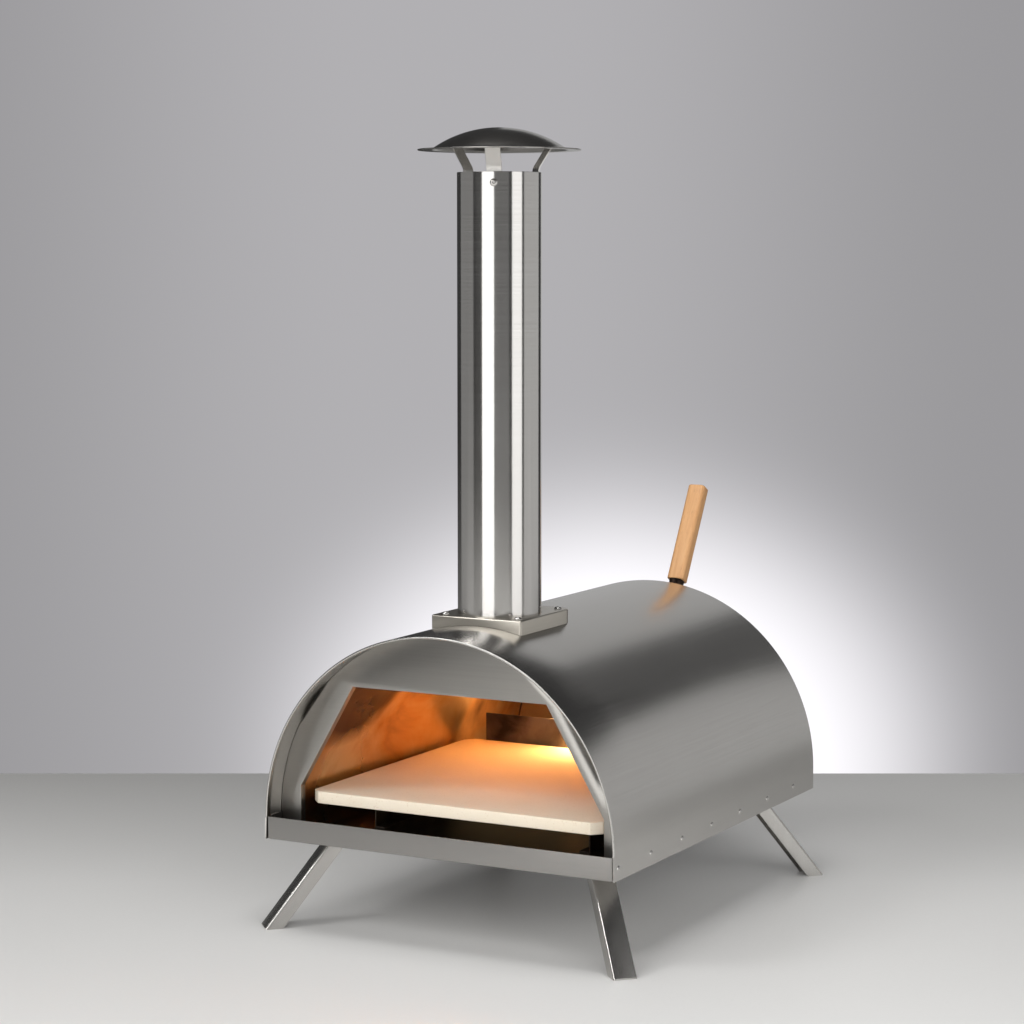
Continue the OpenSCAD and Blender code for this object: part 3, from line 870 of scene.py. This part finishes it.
    def liner_sheet(self) -> None:
        """Heat-tinted vault liner on two foot flanges."""
        work = Work("chamber_liner")
        spans = (38.0, 84.0, 190.0, 300.0, 400.0, 504.2)
        self.vault(work, self.liner, spans, self.sheet)
        work.weld()
        for side in (-1, 1):
            foot = work.edges_where(lambda a, b: abs(a.x - side * self.liner) < TINY
                                    and abs(b.x - side * self.liner) < TINY
                                    and max(a.z, b.z) < self.sheet + 1e-3)
            work.pull(foot, (side * 12, 0, 0))
        work.fold(1.6, 3)
        work.show_side((0, 250, 150))
        work.done(Dress(LINER_STEEL, "heat_tinted_steel"), ["inner_liner"], sheet=self.sheet,
                  cuts=[self.flue_hole()])

    def rivets(self) -> None:
        """Domed rivets along both sides and across the rear panel."""
        head = dome_profile(3.6, 1.5, -3.6)
        sides = Work("side_rivets")
        for side in (-1, 1):
            for i in range(7):
                spot = Matrix.Translation((side * self.width / 2, 9 + 73.2 * i, 11.5))
                turned(sides, head, 24, spot @ Matrix.Rotation(math.radians(90 * side), 4, "Y"))
        sides.weld()
        sides.done(Dress(FASTENER_STEEL, "fastener_steel"), ["shell_rivets"], edge=0)
        rear = Work("rear_rivets")
        for x in (-170, -110, 110, 170):
            spot = Matrix.Translation((x, self.depth, 11.5))
            turned(rear, head, 24, spot @ Matrix.Rotation(math.radians(-90), 4, "X"))
        rear.weld()
        rear.done(Dress(FASTENER_STEEL, "fastener_steel"), ["panel_rivets"], edge=0)


@dataclass
class Hearth:
    """Square baking stone with clipped corners."""

    width: float = 334.0
    depth: float = 334.0
    thick: float = 12.4
    low: float = 35.0
    front: float = 34.0
    clip: float = 10.0

    def build(self) -> None:
        """Builds the stone."""
        work = Work("baking_stone")
        w, d, c, y, z = self.width / 2, self.depth, self.clip, self.front, self.low
        face = work.plate([(-w + c, y, z), (w - c, y, z), (w, y + c, z), (w, y + d - c, z),
                           (w - c, y + d, z), (-w + c, y + d, z), (-w, y + d - c, z), (-w, y + c, z)])
        work.thicken([face], (0, 0, self.thick))
        work.weld()
        work.round(list(work.bm.edges), 0.9, 3)
        work.done(Dress(STONE, "cordierite"), ["pizza_stone"], body="stone", edge=0)


@dataclass
class Chimney:
    """Square base that straddles the vault, ground tube, domed cap and its three straps."""

    tube_r: float = 43.1
    tube_low: float = 205.0
    tube_top: float = 681.0
    flue_y: float = 137.5
    base_w: float = 104.0
    base_y: float = 87.0
    base_d: float = 113.0
    base_top: float = 232.0
    base_corner: float = 13.0
    cap_z: float = 703.0
    dome_r: float = 69.0
    dome_h: float = 22.0
    brim_r: float = 83.0
    sheet: float = 1.2
    lip: float = 23.5
    vault_r: float = 200.2
    strap_w: float = 15.5
    strap_rise: float = 24.3
    strap_lean: float = 16.0
    strap_t: float = 1.5
    strap_angles: tuple[float, ...] = (-69.0, 51.0, 171.0)

    @property
    def flue(self) -> Matrix:
        """Frame that stands on the flue's axis."""
        return Matrix.Translation(at(0, self.flue_y, 0)) @ Matrix.Scale(0.001, 4)

    def build(self) -> None:
        """Builds the whole chimney."""
        self.base()
        self.tube()
        self.cap()
        for number, angle in enumerate(self.strap_angles, 1):
            self.strap(number, angle)
        self.screws()

    def base(self) -> None:
        """Base with sharp front corners, rounded rear ones and sides cut to the vault."""
        work = Work("chimney_base_box")
        w, y0, y1 = self.base_w / 2, self.base_y, self.base_y + self.base_d
        work.plate([(-w, y0, self.base_top), (w, y0, self.base_top), (w, y1, self.base_top),
                    (-w, y1, self.base_top)])
        work.pull(list(work.bm.edges), (0, 0, -130))
        rear = work.edges_where(lambda a, b: abs(a.z - b.z) > 10 and min(a.y, b.y) > y1 - 1)
        work.round(rear, self.base_corner, 10)
        front = work.edges_where(lambda a, b: abs(a.z - b.z) > 10 and max(a.y, b.y) < y0 + 1)
        top = work.edges_where(lambda a, b: min(a.z, b.z) > self.base_top - TINY)
        work.round([*front, *top], 1.8, 4)
        work.weld()
        work.show_side((0, self.flue_y, self.base_top + 60))
        along = Matrix.Translation(at(0, 0, self.lip)) @ Matrix.Rotation(math.radians(-90), 4, "X")
        core = round_solid("vault_core", self.vault_r, -60, 400, along @ Matrix.Scale(0.001, 4), 360)
        hole = round_solid("tube_hole", self.tube_r + 0.2, 100, 400, self.flue)
        work.done(Dress(BASE_STEEL, "base_steel"), ["chimney_base"], sheet=self.sheet, edge=0.25,
                  cuts=[core, hole])

    def tube(self) -> None:
        """Tube with an eased rim."""
        work = Work("chimney_tube_pipe", self.flue)
        inner = self.tube_r - 1
        turned(work, [(inner, self.tube_low), (self.tube_r, self.tube_low), (self.tube_r, self.tube_top),
                      (inner, self.tube_top), (inner, self.tube_low)], 128)
        work.weld()
        work.done(Dress(TUBE_STEEL, "flue_steel"), ["chimney_tube"], edge=0.3)

    def cap(self) -> None:
        """Pressed cap: dome, soft crease and flat brim."""
        work = Work("chimney_cap_pressing", self.flue)
        ball = (self.dome_r ** 2 + self.dome_h ** 2) / (2 * self.dome_h)
        centre = self.cap_z + self.sheet + self.dome_h - ball
        reach = math.asin(self.dome_r / ball)
        dome = [(ball * math.sin(reach * i / 16), centre + ball * math.cos(reach * i / 16))
                for i in range(17)]
        turned(work, [*dome, (self.brim_r, self.cap_z + self.sheet)], 128)
        crease = work.edges_where(lambda a, b: abs(math.hypot(a.x, a.y) - self.dome_r) < 0.1
                                  and abs(math.hypot(b.x, b.y) - self.dome_r) < 0.1)
        work.round(crease, 3.0, 4)
        work.show_side((0, 0, self.cap_z + 100))
        work.done(Dress(CAP_STEEL, "cap_steel"), ["chimney_cap"], sheet=self.sheet, edge=0.4)

    def strap(self, number: int, angle: float) -> None:
        """One bent strap between tube and cap.

        Args:
            number: Number of the strap.
            angle: Direction in degrees from +X.
        """
        place = self.flue @ Matrix.Rotation(math.radians(angle), 4, "Z")
        work = Work(f"cap_strap_bar_{number}", place)
        outer = self.tube_r - 1 - 1.15
        bend, half = self.tube_top + 4, self.strap_w / 2
        side = work.chain([(outer, -half, self.tube_top - 26), (outer, -half, bend),
                           (outer + self.strap_lean, -half, bend + self.strap_rise)])
        work.pull(side, (0, self.strap_w, 0))
        work.fold(2.5, 3, over=10)
        work.show_side((80, 0, self.tube_top - 10))
        node = f"cap_strap_{number}"
        work.done(Dress(LEG_STEEL, "strap_steel"), [node], sheet=self.strap_t, edge=0.3)

    def screws(self) -> None:
        """Cross-slotted screws on the base's top and through the straps."""
        base = Work("base_screws")
        for x in (-42, 42):
            for y in (self.base_y + 12, self.base_y + self.base_d - 13):
                screw_head(base, Matrix.Translation((x, y, self.base_top)))
        base.weld()
        base.done(Dress(FASTENER_STEEL, "fastener_steel"), ["chimney_screws"], edge=0)
        cap = Work("strap_screws", self.flue)
        for angle in self.strap_angles:
            spot = Matrix.Rotation(math.radians(angle), 4, "Z") @ Matrix.Translation(
                (self.tube_r, 0, self.tube_top - 11))
            screw_head(cap, spot @ Matrix.Rotation(math.radians(90), 4, "Y"))
        cap.weld()
        cap.done(Dress(FASTENER_STEEL, "fastener_steel"), ["cap_screws"], edge=0)


def screw_head(work: Work, place: Matrix) -> None:
    """Adds a pan-head screw with a recessed drive.

    Args:
        work: Piece that gets the screw.
        place: Frame with the head's seat at its origin and the head along +Z.
    """
    profile = [(0.0, 1.1), (1.0, 1.3), (1.5, 2.0), (2.2, 1.95), (3.2, 1.5), (3.8, 0.8), (4.0, 0.0),
               (2.0, 0.0), (2.0, -8.0), (0.0, -8.0)]
    turned(work, profile, 24, place)


@dataclass
class Hopper:
    """Slanted fuel chute, its screws, and the lid with ferrule and wooden handle."""

    lean: float = 29.7
    lid_y: float = 558.0
    lid_z: float = 191.5
    lid_d: float = 70.0
    chute_w: float = 100.0
    chute_d: float = 66.4
    depth: float = 507.0
    sheet: float = 1.2
    skirt: float = 12.0
    ferrule_h: float = 28.0
    handle_l: float = 121.0
    handle_w: float = 21.0
    handle_t: float = 18.0

    @property
    def frame(self) -> Matrix:
        """Frame on the middle of the lid's top face, with +Z along the handle."""
        return (Matrix.Translation(at(0, self.lid_y, self.lid_z))
                @ Matrix.Rotation(math.radians(-self.lean), 4, "X") @ Matrix.Scale(0.001, 4))

    def build(self) -> None:
        """Builds chute, screws, lid, ferrule and handle."""
        self.chute()
        self.lid()
        self.ferrule()
        self.handle()

    def chute(self) -> None:
        """Chute of bent sheet on its flange, and the flange's screws."""
        work = Work("fuel_chute")
        lean = Matrix.Translation((0, self.lid_y, self.lid_z)) @ Matrix.Rotation(
            math.radians(-self.lean), 4, "X")
        w, d = self.chute_w / 2, self.chute_d / 2
        top = -self.sheet - 0.2
        rim = work.chain([(-w, -d, top), (w, -d, top), (w, d, top), (-w, d, top)], closed=True)
        work.pull(rim, (0, 0, -218))
        bmesh.ops.transform(work.bm, matrix=lean, verts=work.bm.verts)
        work.fold(3.0, 5)
        work.cut((0, self.depth + self.sheet, 0), (0, -1, 0))
        foot = work.edges_where(lambda a, b: max(a.y, b.y) < self.depth + self.sheet + 0.01)
        ring = work.pull(foot, (0, 0, 0))
        low, high = 30.0, 184.0
        for vert in {v for e in ring for v in e.verts}:
            vert.co.x = 63.0 if vert.co.x > 0 else -63.0
            vert.co.z = high if vert.co.z > 100 else low
        bmesh.ops.dissolve_degenerate(work.bm, dist=1e-3, edges=work.bm.edges)
        work.show_side((0, self.lid_y + 80, 110))
        work.done(Dress(SHELL_STEEL, "hopper_steel"), ["fuel_hopper"], sheet=self.sheet, edge=0.25)
        screws = Work("chute_screws")
        for x in (-56, 56):
            for z in (42, 106, 174):
                spot = Matrix.Translation((x, self.depth + self.sheet, z))
                screw_head(screws, spot @ Matrix.Rotation(math.radians(-90), 4, "X"))
        screws.weld()
        screws.done(Dress(FASTENER_STEEL, "fastener_steel"), ["hopper_screws"], edge=0)

    def lid(self) -> None:
        """Lid with a skirt that drops over the chute."""
        work = Work("chute_lid", self.frame)
        w, d = self.chute_w / 2 + 0.6 + self.sheet, self.lid_d / 2
        work.plate([(-w, -d, 0), (w, -d, 0), (w, d, 0), (-w, d, 0)])
        work.pull(list(work.bm.edges), (0, 0, -self.skirt))
        work.fold(2.0, 4)
        work.show_side((0, 0, 60))
        work.done(Dress(SHELL_STEEL, "hopper_steel"), ["hopper_lid"], body="lid", sheet=self.sheet)

    def ferrule(self) -> None:
        """Dark tapered ferrule under the handle."""
        work = Work("handle_ferrule_turning", self.frame)
        h = self.ferrule_h
        turned(work, [(0, 0), (6.3, 0), (6.6, 0.4), (6.6, 2.2), (6.2, 2.8), (8.8, h - 1.5), (9.0, h - 0.6),
                      (8.8, h), (0, h)], 48)
        work.weld()
        work.done(Dress(FERRULE_STEEL, "ferrule_steel"), ["handle_ferrule"], body="lid", edge=0)

    def handle(self) -> None:
        """Wooden handle with rounded corners and eased ends."""
        x, y, z = self.handle_w / 2, self.handle_t / 2, self.ferrule_h
        work = box_solid("wooden_grip", (-x, -y, z), (x, y, z + self.handle_l), self.frame)
        work.round(work.edges_where(lambda a, b: abs(a.z - b.z) > 20), 5.0, 8)
        ends = work.edges_where(lambda a, b: abs(a.z - b.z) < TINY)
        work.round(ends, 1.2, 3)
        work.weld()
        work.done(Dress(BEECH, "beech"), ["lid_handle"], body="lid", edge=0)


@dataclass
class Burner:
    """Turned knob of the sliding burner tray."""

    def build(self) -> None:
        """Builds the knob."""
        place = (Matrix.Translation(at(0, 508.4, 18)) @ Matrix.Rotation(math.radians(-90), 4, "X")
                 @ Matrix.Scale(0.001, 4))
        work = Work("tray_pull_knob", place)
        turned(work, [(0, -6), (2, -6), (2, 0), (5.2, 0), (4.4, 1.2), (4.2, 7.5), (5.2, 8.8), (8.2, 9.3),
                      (9.0, 10.4), (9.0, 14.4), (8.2, 15.6), (6.0, 16.0), (0, 16.0)], 48)
        work.weld()
        work.done(Dress(LEG_STEEL, "fastener_steel"), ["tray_knob"], body="burner", edge=0)


@dataclass
class Legs:
    """Four folded channel legs with bent feet."""

    tilt: float = 38.2
    width: float = 24.5
    flange: float = 15.3
    thick: float = 1.5
    pivot: float = 8.0
    pivot_s: float = -2.515
    pivot_z: float = -9.741
    web_top: float = 4.0
    foot: float = 15.0
    drop: float = 96.0 - 9.741
    bend: float = 2.4
    half_x: float = 156.0
    corners: dict[str, tuple[int, int, float]] = field(default_factory=lambda: {
        "leg_front_left": (-1, -1, 60.8), "leg_front_right": (1, -1, 60.8),
        "leg_rear_left": (-1, 1, 452.6), "leg_rear_right": (1, 1, 452.6)})

    def build(self) -> None:
        """Builds the four legs."""
        for node, corner in self.corners.items():
            self.leg(node, *corner)

    def leg(self, node: str, side: int, end: int, y: float) -> None:
        """One leg.

        Args:
            node: CAD node and body of the leg.
            side: -1 for the left, 1 for the right.
            end: -1 for the front, 1 for the rear.
            y: Distance of the corner from the front rim.
        """
        place = (Matrix.Translation(at(side * self.half_x, y, 0))
                 @ Matrix.Rotation(math.atan2(end, side), 4, "Z")
                 @ Matrix.Translation((mm(self.pivot_s), 0, mm(self.pivot_z))) @ Matrix.Scale(0.001, 4))
        work = Work(f"{node}_channel", place)
        half, back = self.width / 2, self.pivot - self.flange
        top = self.web_top
        lean = Matrix.Rotation(math.radians(-self.tilt), 4, "Y")
        rim = work.chain([(back, -half, top), (self.pivot, -half, top), (self.pivot, half, top),
                          (back, half, top)])
        work.pull(rim, (0, 0, -160 - top))
        tips = [v for v in work.bm.verts if abs(v.co.x - back) < TINY and v.co.z > top - TINY]
        bmesh.ops.bevel(work.bm, geom=tips, offset=7.5, segments=6, profile=0.5, affect="VERTICES",
                        material=-1)
        bmesh.ops.transform(work.bm, matrix=lean, verts=work.bm.verts)
        work.cut((0, 0, -self.drop), (0, 0, -1))
        work.weld()
        web_x = (self.pivot + self.drop * math.sin(math.radians(self.tilt))) / math.cos(
            math.radians(self.tilt))
        toe = work.edges_where(lambda a, b: max(a.z, b.z) < -self.drop + 0.01
                               and min(a.x, b.x) > web_x - 0.05)
        work.pull(toe, (-self.foot, 0, 0))
        inner = half - self.thick - 0.05
        for vert in work.bm.verts:
            if vert.co.z < -self.drop + 0.01 and abs(vert.co.x - web_x + self.foot) < 0.01:
                vert.co.y = math.copysign(min(abs(vert.co.y), inner), vert.co.y)
        work.fold(self.bend, 4)
        work.show_side((120, 0, -10))
        work.done(Dress(LEG_STEEL, "leg_steel"), [node], body=node, sheet=self.thick, edge=0.35)


@dataclass
class Carried:
    """CAD nodes whose shape is right already: they only get their finishes."""

    finishes: dict[str, Finish] = field(default_factory=lambda: {
        "insulation_blanket": BLANKET, "stone_rail_left": BURNER_STEEL, "stone_rail_right": BURNER_STEEL,
        "flame_guard": BURNER_STEEL, "burner_tray": BURNER_STEEL, "fire_grate": BURNER_STEEL,
        "hopper_nuts": FASTENER_STEEL, "handle_screw": FASTENER_STEEL, "flue_sleeve": LINER_STEEL,
        "tube_flange": BASE_STEEL, "chimney_nuts": FASTENER_STEEL, "cap_nuts": FASTENER_STEEL,
        "leg_bracket_front_left": LEG_STEEL, "leg_bracket_front_right": LEG_STEEL,
        "leg_bracket_rear_left": LEG_STEEL, "leg_bracket_rear_right": LEG_STEEL,
        "bracket_rivets": FASTENER_STEEL, "leg_pins": FASTENER_STEEL})

    def build(self) -> None:
        """Gives each carried node its finish."""
        for node, finish in self.finishes.items():
            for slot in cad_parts[node].material_slots:
                slot.material = finish.material()
            log.info("%s: keeps its shape, finished as %s", node, finish.name)


# ---------------------------------------------------------------- studio


@dataclass(frozen=True)
class FloorPaint(Finish):
    """Matt white studio floor with a faint sheen and painted shade: its colour is pale near the camera and
    painted greyer towards the wall, standing in for the light that falls off there.
    """

    name: str
    near: str = "#d9d8d6"
    # Colour far from the camera: painted shade for the weaker light towards the wall
    far: str = "#bfbebc"
    roughness: float = 0.42

    def build(self, tree: bpy.types.NodeTree) -> None:
        """Fills the node tree.

        Args:
            tree: Empty node tree of the new material.
        """
        coords = add(tree, "ShaderNodeTexCoord")
        depth = add(tree, "ShaderNodeMapping", {
            "Vector": coords.outputs["Object"], "Rotation": (0, 0, math.radians(-28.37))})
        parts = add(tree, "ShaderNodeSeparateXYZ", {0: depth.outputs[0]})
        # Painted shade: the floor's colour greys with distance from the camera, standing in for light falloff
        painted_falloff = add(tree, "ShaderNodeMapRange", {0: parts.outputs[1], 1: 0.02, 2: 0.6}, clamp=True)
        colour = add(tree, "ShaderNodeMix",
                     {0: painted_falloff.outputs[0], 6: linear(self.near), 7: linear(self.far)}, data_type="RGBA")
        stipple = add(tree, "ShaderNodeTexNoise",
                      {"Vector": coords.outputs["Object"], "Scale": 1 / mm(4), "Detail": 3.0})
        bump = add(tree, "ShaderNodeBump",
                   {"Height": stipple.outputs[0], "Strength": 0.2, "Distance": mm(0.05)})
        rough = add(tree, "ShaderNodeMapRange", {
            0: stipple.outputs[0], 1: 0.3, 2: 0.7, 3: self.roughness - 0.04, 4: self.roughness + 0.04})
        surface = add(tree, "ShaderNodeBsdfPrincipled", {
            "Base Color": colour.outputs[2], "Roughness": rough.outputs[0], "Normal": bump.outputs[0]})
        add(tree, "ShaderNodeOutputMaterial", {"Surface": surface.outputs[0]})


@dataclass(frozen=True)
class WallGlow(Finish):
    """Backdrop with painted light: it glows soft grey by itself, darker to the sides, with a painted bright pool
    low behind the oven, and is clear when seen from behind.
    """

    name: str
    grey: float = 0.45
    edge: float = 0.33
    glow: float = 0.85
    centre: tuple[float, float] = (0.075, 0.0)
    reach: tuple[float, float] = (0.4, 0.34)

    def build(self, tree: bpy.types.NodeTree) -> None:
        """Fills the node tree.

        Args:
            tree: Empty node tree of the new material.
        """
        coords = add(tree, "ShaderNodeTexCoord")
        turned_to = add(tree, "ShaderNodeMapping", {
            "Vector": coords.outputs["Object"], "Rotation": (0, 0, math.radians(-28.37))})
        pool = add(tree, "ShaderNodeMapping", {
            "Vector": turned_to.outputs[0], "Location": (-self.centre[0] / self.reach[0], 0, -self.centre[1] / self.reach[1]),
            "Scale": (1 / self.reach[0], 0, 1 / self.reach[1])})
        far = add(tree, "ShaderNodeVectorMath", {0: pool.outputs[0]}, operation="LENGTH")
        square = add(tree, "ShaderNodeMath", {0: far.outputs["Value"], 1: 4.0}, operation="POWER")
        minus = add(tree, "ShaderNodeMath", {0: square.outputs[0], 1: -1.0}, operation="MULTIPLY")
        bell = add(tree, "ShaderNodeMath", {0: minus.outputs[0]}, operation="EXPONENT")
        parts = add(tree, "ShaderNodeSeparateXYZ", {0: turned_to.outputs[0]})
        side = add(tree, "ShaderNodeMath", {0: parts.outputs[0], 1: 0.15}, operation="ADD")
        away = add(tree, "ShaderNodeMath", {0: side.outputs[0]}, operation="ABSOLUTE")
        base = add(tree, "ShaderNodeMapRange", {0: away.outputs[0], 1: 0.1, 2: 0.75, 3: self.grey, 4: self.edge},
                   interpolation_type="SMOOTHSTEP")
        lit = add(tree, "ShaderNodeMath", {0: bell.outputs[0], 1: self.glow, 2: base.outputs[0]},
                  operation="MULTIPLY_ADD")
        # Painted light: the backdrop emits its grey, its darker sides and its bright pool itself; no lamp lights
        # it
        paint = add(tree, "ShaderNodeEmission", {"Color": linear("#fdfbff"), "Strength": lit.outputs[0]})
        clear = add(tree, "ShaderNodeBsdfTransparent")
        back = add(tree, "ShaderNodeNewGeometry")
        surface = add(tree, "ShaderNodeMixShader",
                      {0: back.outputs["Backfacing"], 1: paint.outputs[0], 2: clear.outputs[0]})
        add(tree, "ShaderNodeOutputMaterial", {"Surface": surface.outputs[0]})


@dataclass
class Studio:
    """Floor, backdrop, soft lights and camera."""

    eye: tuple[float, float, float] = (1.2945, -2.5520, 0.7027)
    heading: float = 28.37
    pitch: float = 5.74
    lens: float = 93.0
    wall_far: float = 3.49
    floor_paint: FloorPaint = FloorPaint("studio_floor_paint")
    wall_glow: WallGlow = WallGlow("studio_wall_glow")

    def build(self) -> None:
        """Builds the whole studio."""
        self.camera()
        self.floor()
        self.wall()
        self.lights()
        self.world()

    @property
    def ahead(self) -> Vector:
        """Level direction in which the camera looks."""
        return Vector((-math.sin(math.radians(self.heading)), math.cos(math.radians(self.heading)), 0))

    @property
    def right(self) -> Vector:
        """Level direction to the camera's right."""
        return Vector((math.cos(math.radians(self.heading)), math.sin(math.radians(self.heading)), 0))

    def camera(self) -> None:
        """Camera at eye height, a little to the right of the mouth."""
        data = bpy.data.cameras.new("camera")
        data.lens, data.sensor_width, data.clip_end = self.lens, 36.0, 50.0
        camera = bpy.data.objects.new("camera", data)
        camera.location = self.eye
        camera.rotation_euler = (math.radians(90 - self.pitch), 0, math.radians(self.heading))
        bpy.context.scene.collection.objects.link(camera)
        bpy.context.scene.camera = camera

    def stage(self, name: str, corners: Sequence[Vector], finish: Finish) -> bpy.types.Object:
        """Adds a flat piece of the studio.

        Args:
            name: Name of the object.
            corners: Its corners in metres.
            finish: Its finish.

        Returns:
            The object.
        """
        bm = bmesh.new()
        bm.faces.new([bm.verts.new(corner) for corner in corners])
        mesh = bpy.data.meshes.new(name)
        bm.to_mesh(mesh)
        bm.free()
        mesh.materials.append(finish.material())
        obj = bpy.data.objects.new(name, mesh)
        bpy.context.scene.collection.objects.link(obj)
        return obj

    def floor(self) -> None:
        """Large pale floor."""
        r = 9.0
        corners = [Vector((x, y, 0)) for x, y in ((-r, -r), (r, -r), (r, r), (-r, r))]
        self.stage("studio_floor", corners, self.floor_paint)

    def wall(self) -> None:
        """Backdrop behind the oven, facing the camera."""
        foot = Vector((self.eye[0], self.eye[1], 0)) + self.ahead * self.wall_far
        wide, high = 4.0, 3.2
        corners = [foot - self.right * wide, foot + self.right * wide,
                   foot + self.right * wide + UP * high, foot - self.right * wide + UP * high]
        wall = self.stage("studio_wall", corners, self.wall_glow)
        wall.visible_glossy = wall.visible_diffuse = False

    def area(self, name: str, spot: Vector, aim: Vector, size: tuple[float, float], power: float,
             colour: str = "#ffffff") -> bpy.types.Object:
        """Adds a soft light that itself stays unseen.

        Args:
            name: Name of the light.
            spot: Its place.
            aim: Point that it looks at.
            size: Width and height in metres.
            power: Power in watts.
            colour: Its colour.

        Returns:
            The light.
        """
        data = bpy.data.lights.new(name, "AREA")
        data.shape, data.size, data.size_y = "RECTANGLE", size[0], size[1]
        data.energy, data.color = power, linear(colour)[:3]
        lamp = bpy.data.objects.new(name, data)
        lamp.location = spot
        lamp.rotation_euler = (aim - spot).to_track_quat("-Z", "Y").to_euler()
        lamp.visible_camera = False
        bpy.context.scene.collection.objects.link(lamp)
        return lamp

    def polar(self, bearing: float, distance: float, height: float) -> Vector:
        """Point round the chimney.

        Args:
            bearing: Degrees from the direction towards the camera, positive to the camera's right.
            distance: Level distance in metres.
            height: Height above the floor.

        Returns:
            The point.
        """
        angle = math.radians(bearing)
        way = -self.ahead * math.cos(angle) + self.right * math.sin(angle)
        centre = at(0, 137.5, 0)
        return Vector((centre.x, centre.y, 0)) + way * distance + UP * height

    def card(self, name: str, bearing: float, half: float, level: float, high: float,
             distance: float = 2.4, low: float = 0.0) -> None:
        """Adds an upright lit card that only shows in reflections and as light.

        Args:
            name: Name of the card.
            bearing: Its middle, as for polar().
            half: Half its width as seen from the chimney, in degrees.
            level: Its brightness, 1 for white.
            high: Height of its upper edge in metres.
            distance: Level distance in metres.
            low: Height of its lower edge in metres.
        """
        width = 2 * distance * math.tan(math.radians(half))
        middle = (high + low) / 2
        size = (width, high - low)
        self.area(name, self.polar(bearing, distance, middle), self.polar(0, 0, middle), size,
                  level * math.pi * width * (high - low))

    def lights(self) -> None:
        """Key light, strips and cards round the oven, and the warm glow of the chamber."""
        middle = Vector((0, 0, 0.25))
        self.area("key_light", self.polar(-62, 2.6, 2.3), middle, (1.0, 1.0), 30)
        self.area("top_light", Vector((0.1, -0.5, 2.8)), Vector((0.1, -0.6, 0)), (1.8, 1.2), 34)
        fill = self.area("low_fill", self.polar(5, 1.9, 0.75), at(0, 0, -96), (2.2, 0.9), 34)
        fill.visible_glossy = False
        self.card("left_strip", -31, 16.5, 1.8, 1.9)
        self.card("right_strip", 49, 14.5, 1.35, 1.9)
        self.card("front_card", 6, 20, 0.14, 1.9)
        self.card("left_card", -102, 27, 0.22, 1.3)
        self.card("right_card", 101.5, 31.5, 0.5, 1.2)
        self.card("rear_card", 166, 14, 0.45, 1.9)
        self.card("gap_card", 143, 9, 0.07, 1.9, 2.4, 0.9)
        self.area("fire_glow", at(0, 445, 60), at(-60, 200, 190), (0.18, 0.06), 1.4, "#ffbd78")
        self.area("ember_glow", at(-40, 374, 62), at(-170, 200, 90), (0.12, 0.05), 0.5, "#ffc47a")
        self.area("ash_glow", at(0, 285, 33), at(0, 285, 0), (0.24, 0.10), 0.012, "#c9a878")

    def world(self) -> None:
        """Light grey surroundings."""
        world = bpy.data.worlds.new("studio_world")
        world.use_nodes = True
        world.node_tree.nodes.clear()
        back = add(world.node_tree, "ShaderNodeBackground", {"Color": linear("#d9d9da"), "Strength": 0.07})
        add(world.node_tree, "ShaderNodeOutputWorld", {"Surface": back.outputs[0]})
        bpy.context.scene.world = world
        bpy.context.scene.view_settings.view_transform = "Standard"


def main() -> None:
    """Builds the studio and every piece."""
    logging.basicConfig(level=logging.INFO, format="%(name)s: %(message)s")
    for part in (Studio(), Body(), Hearth(), Chimney(), Hopper(), Burner(), Legs(), Carried()):
        part.build()
        log.info("%s is built", type(part).__name__)


if __name__ == "__main__":
    main()
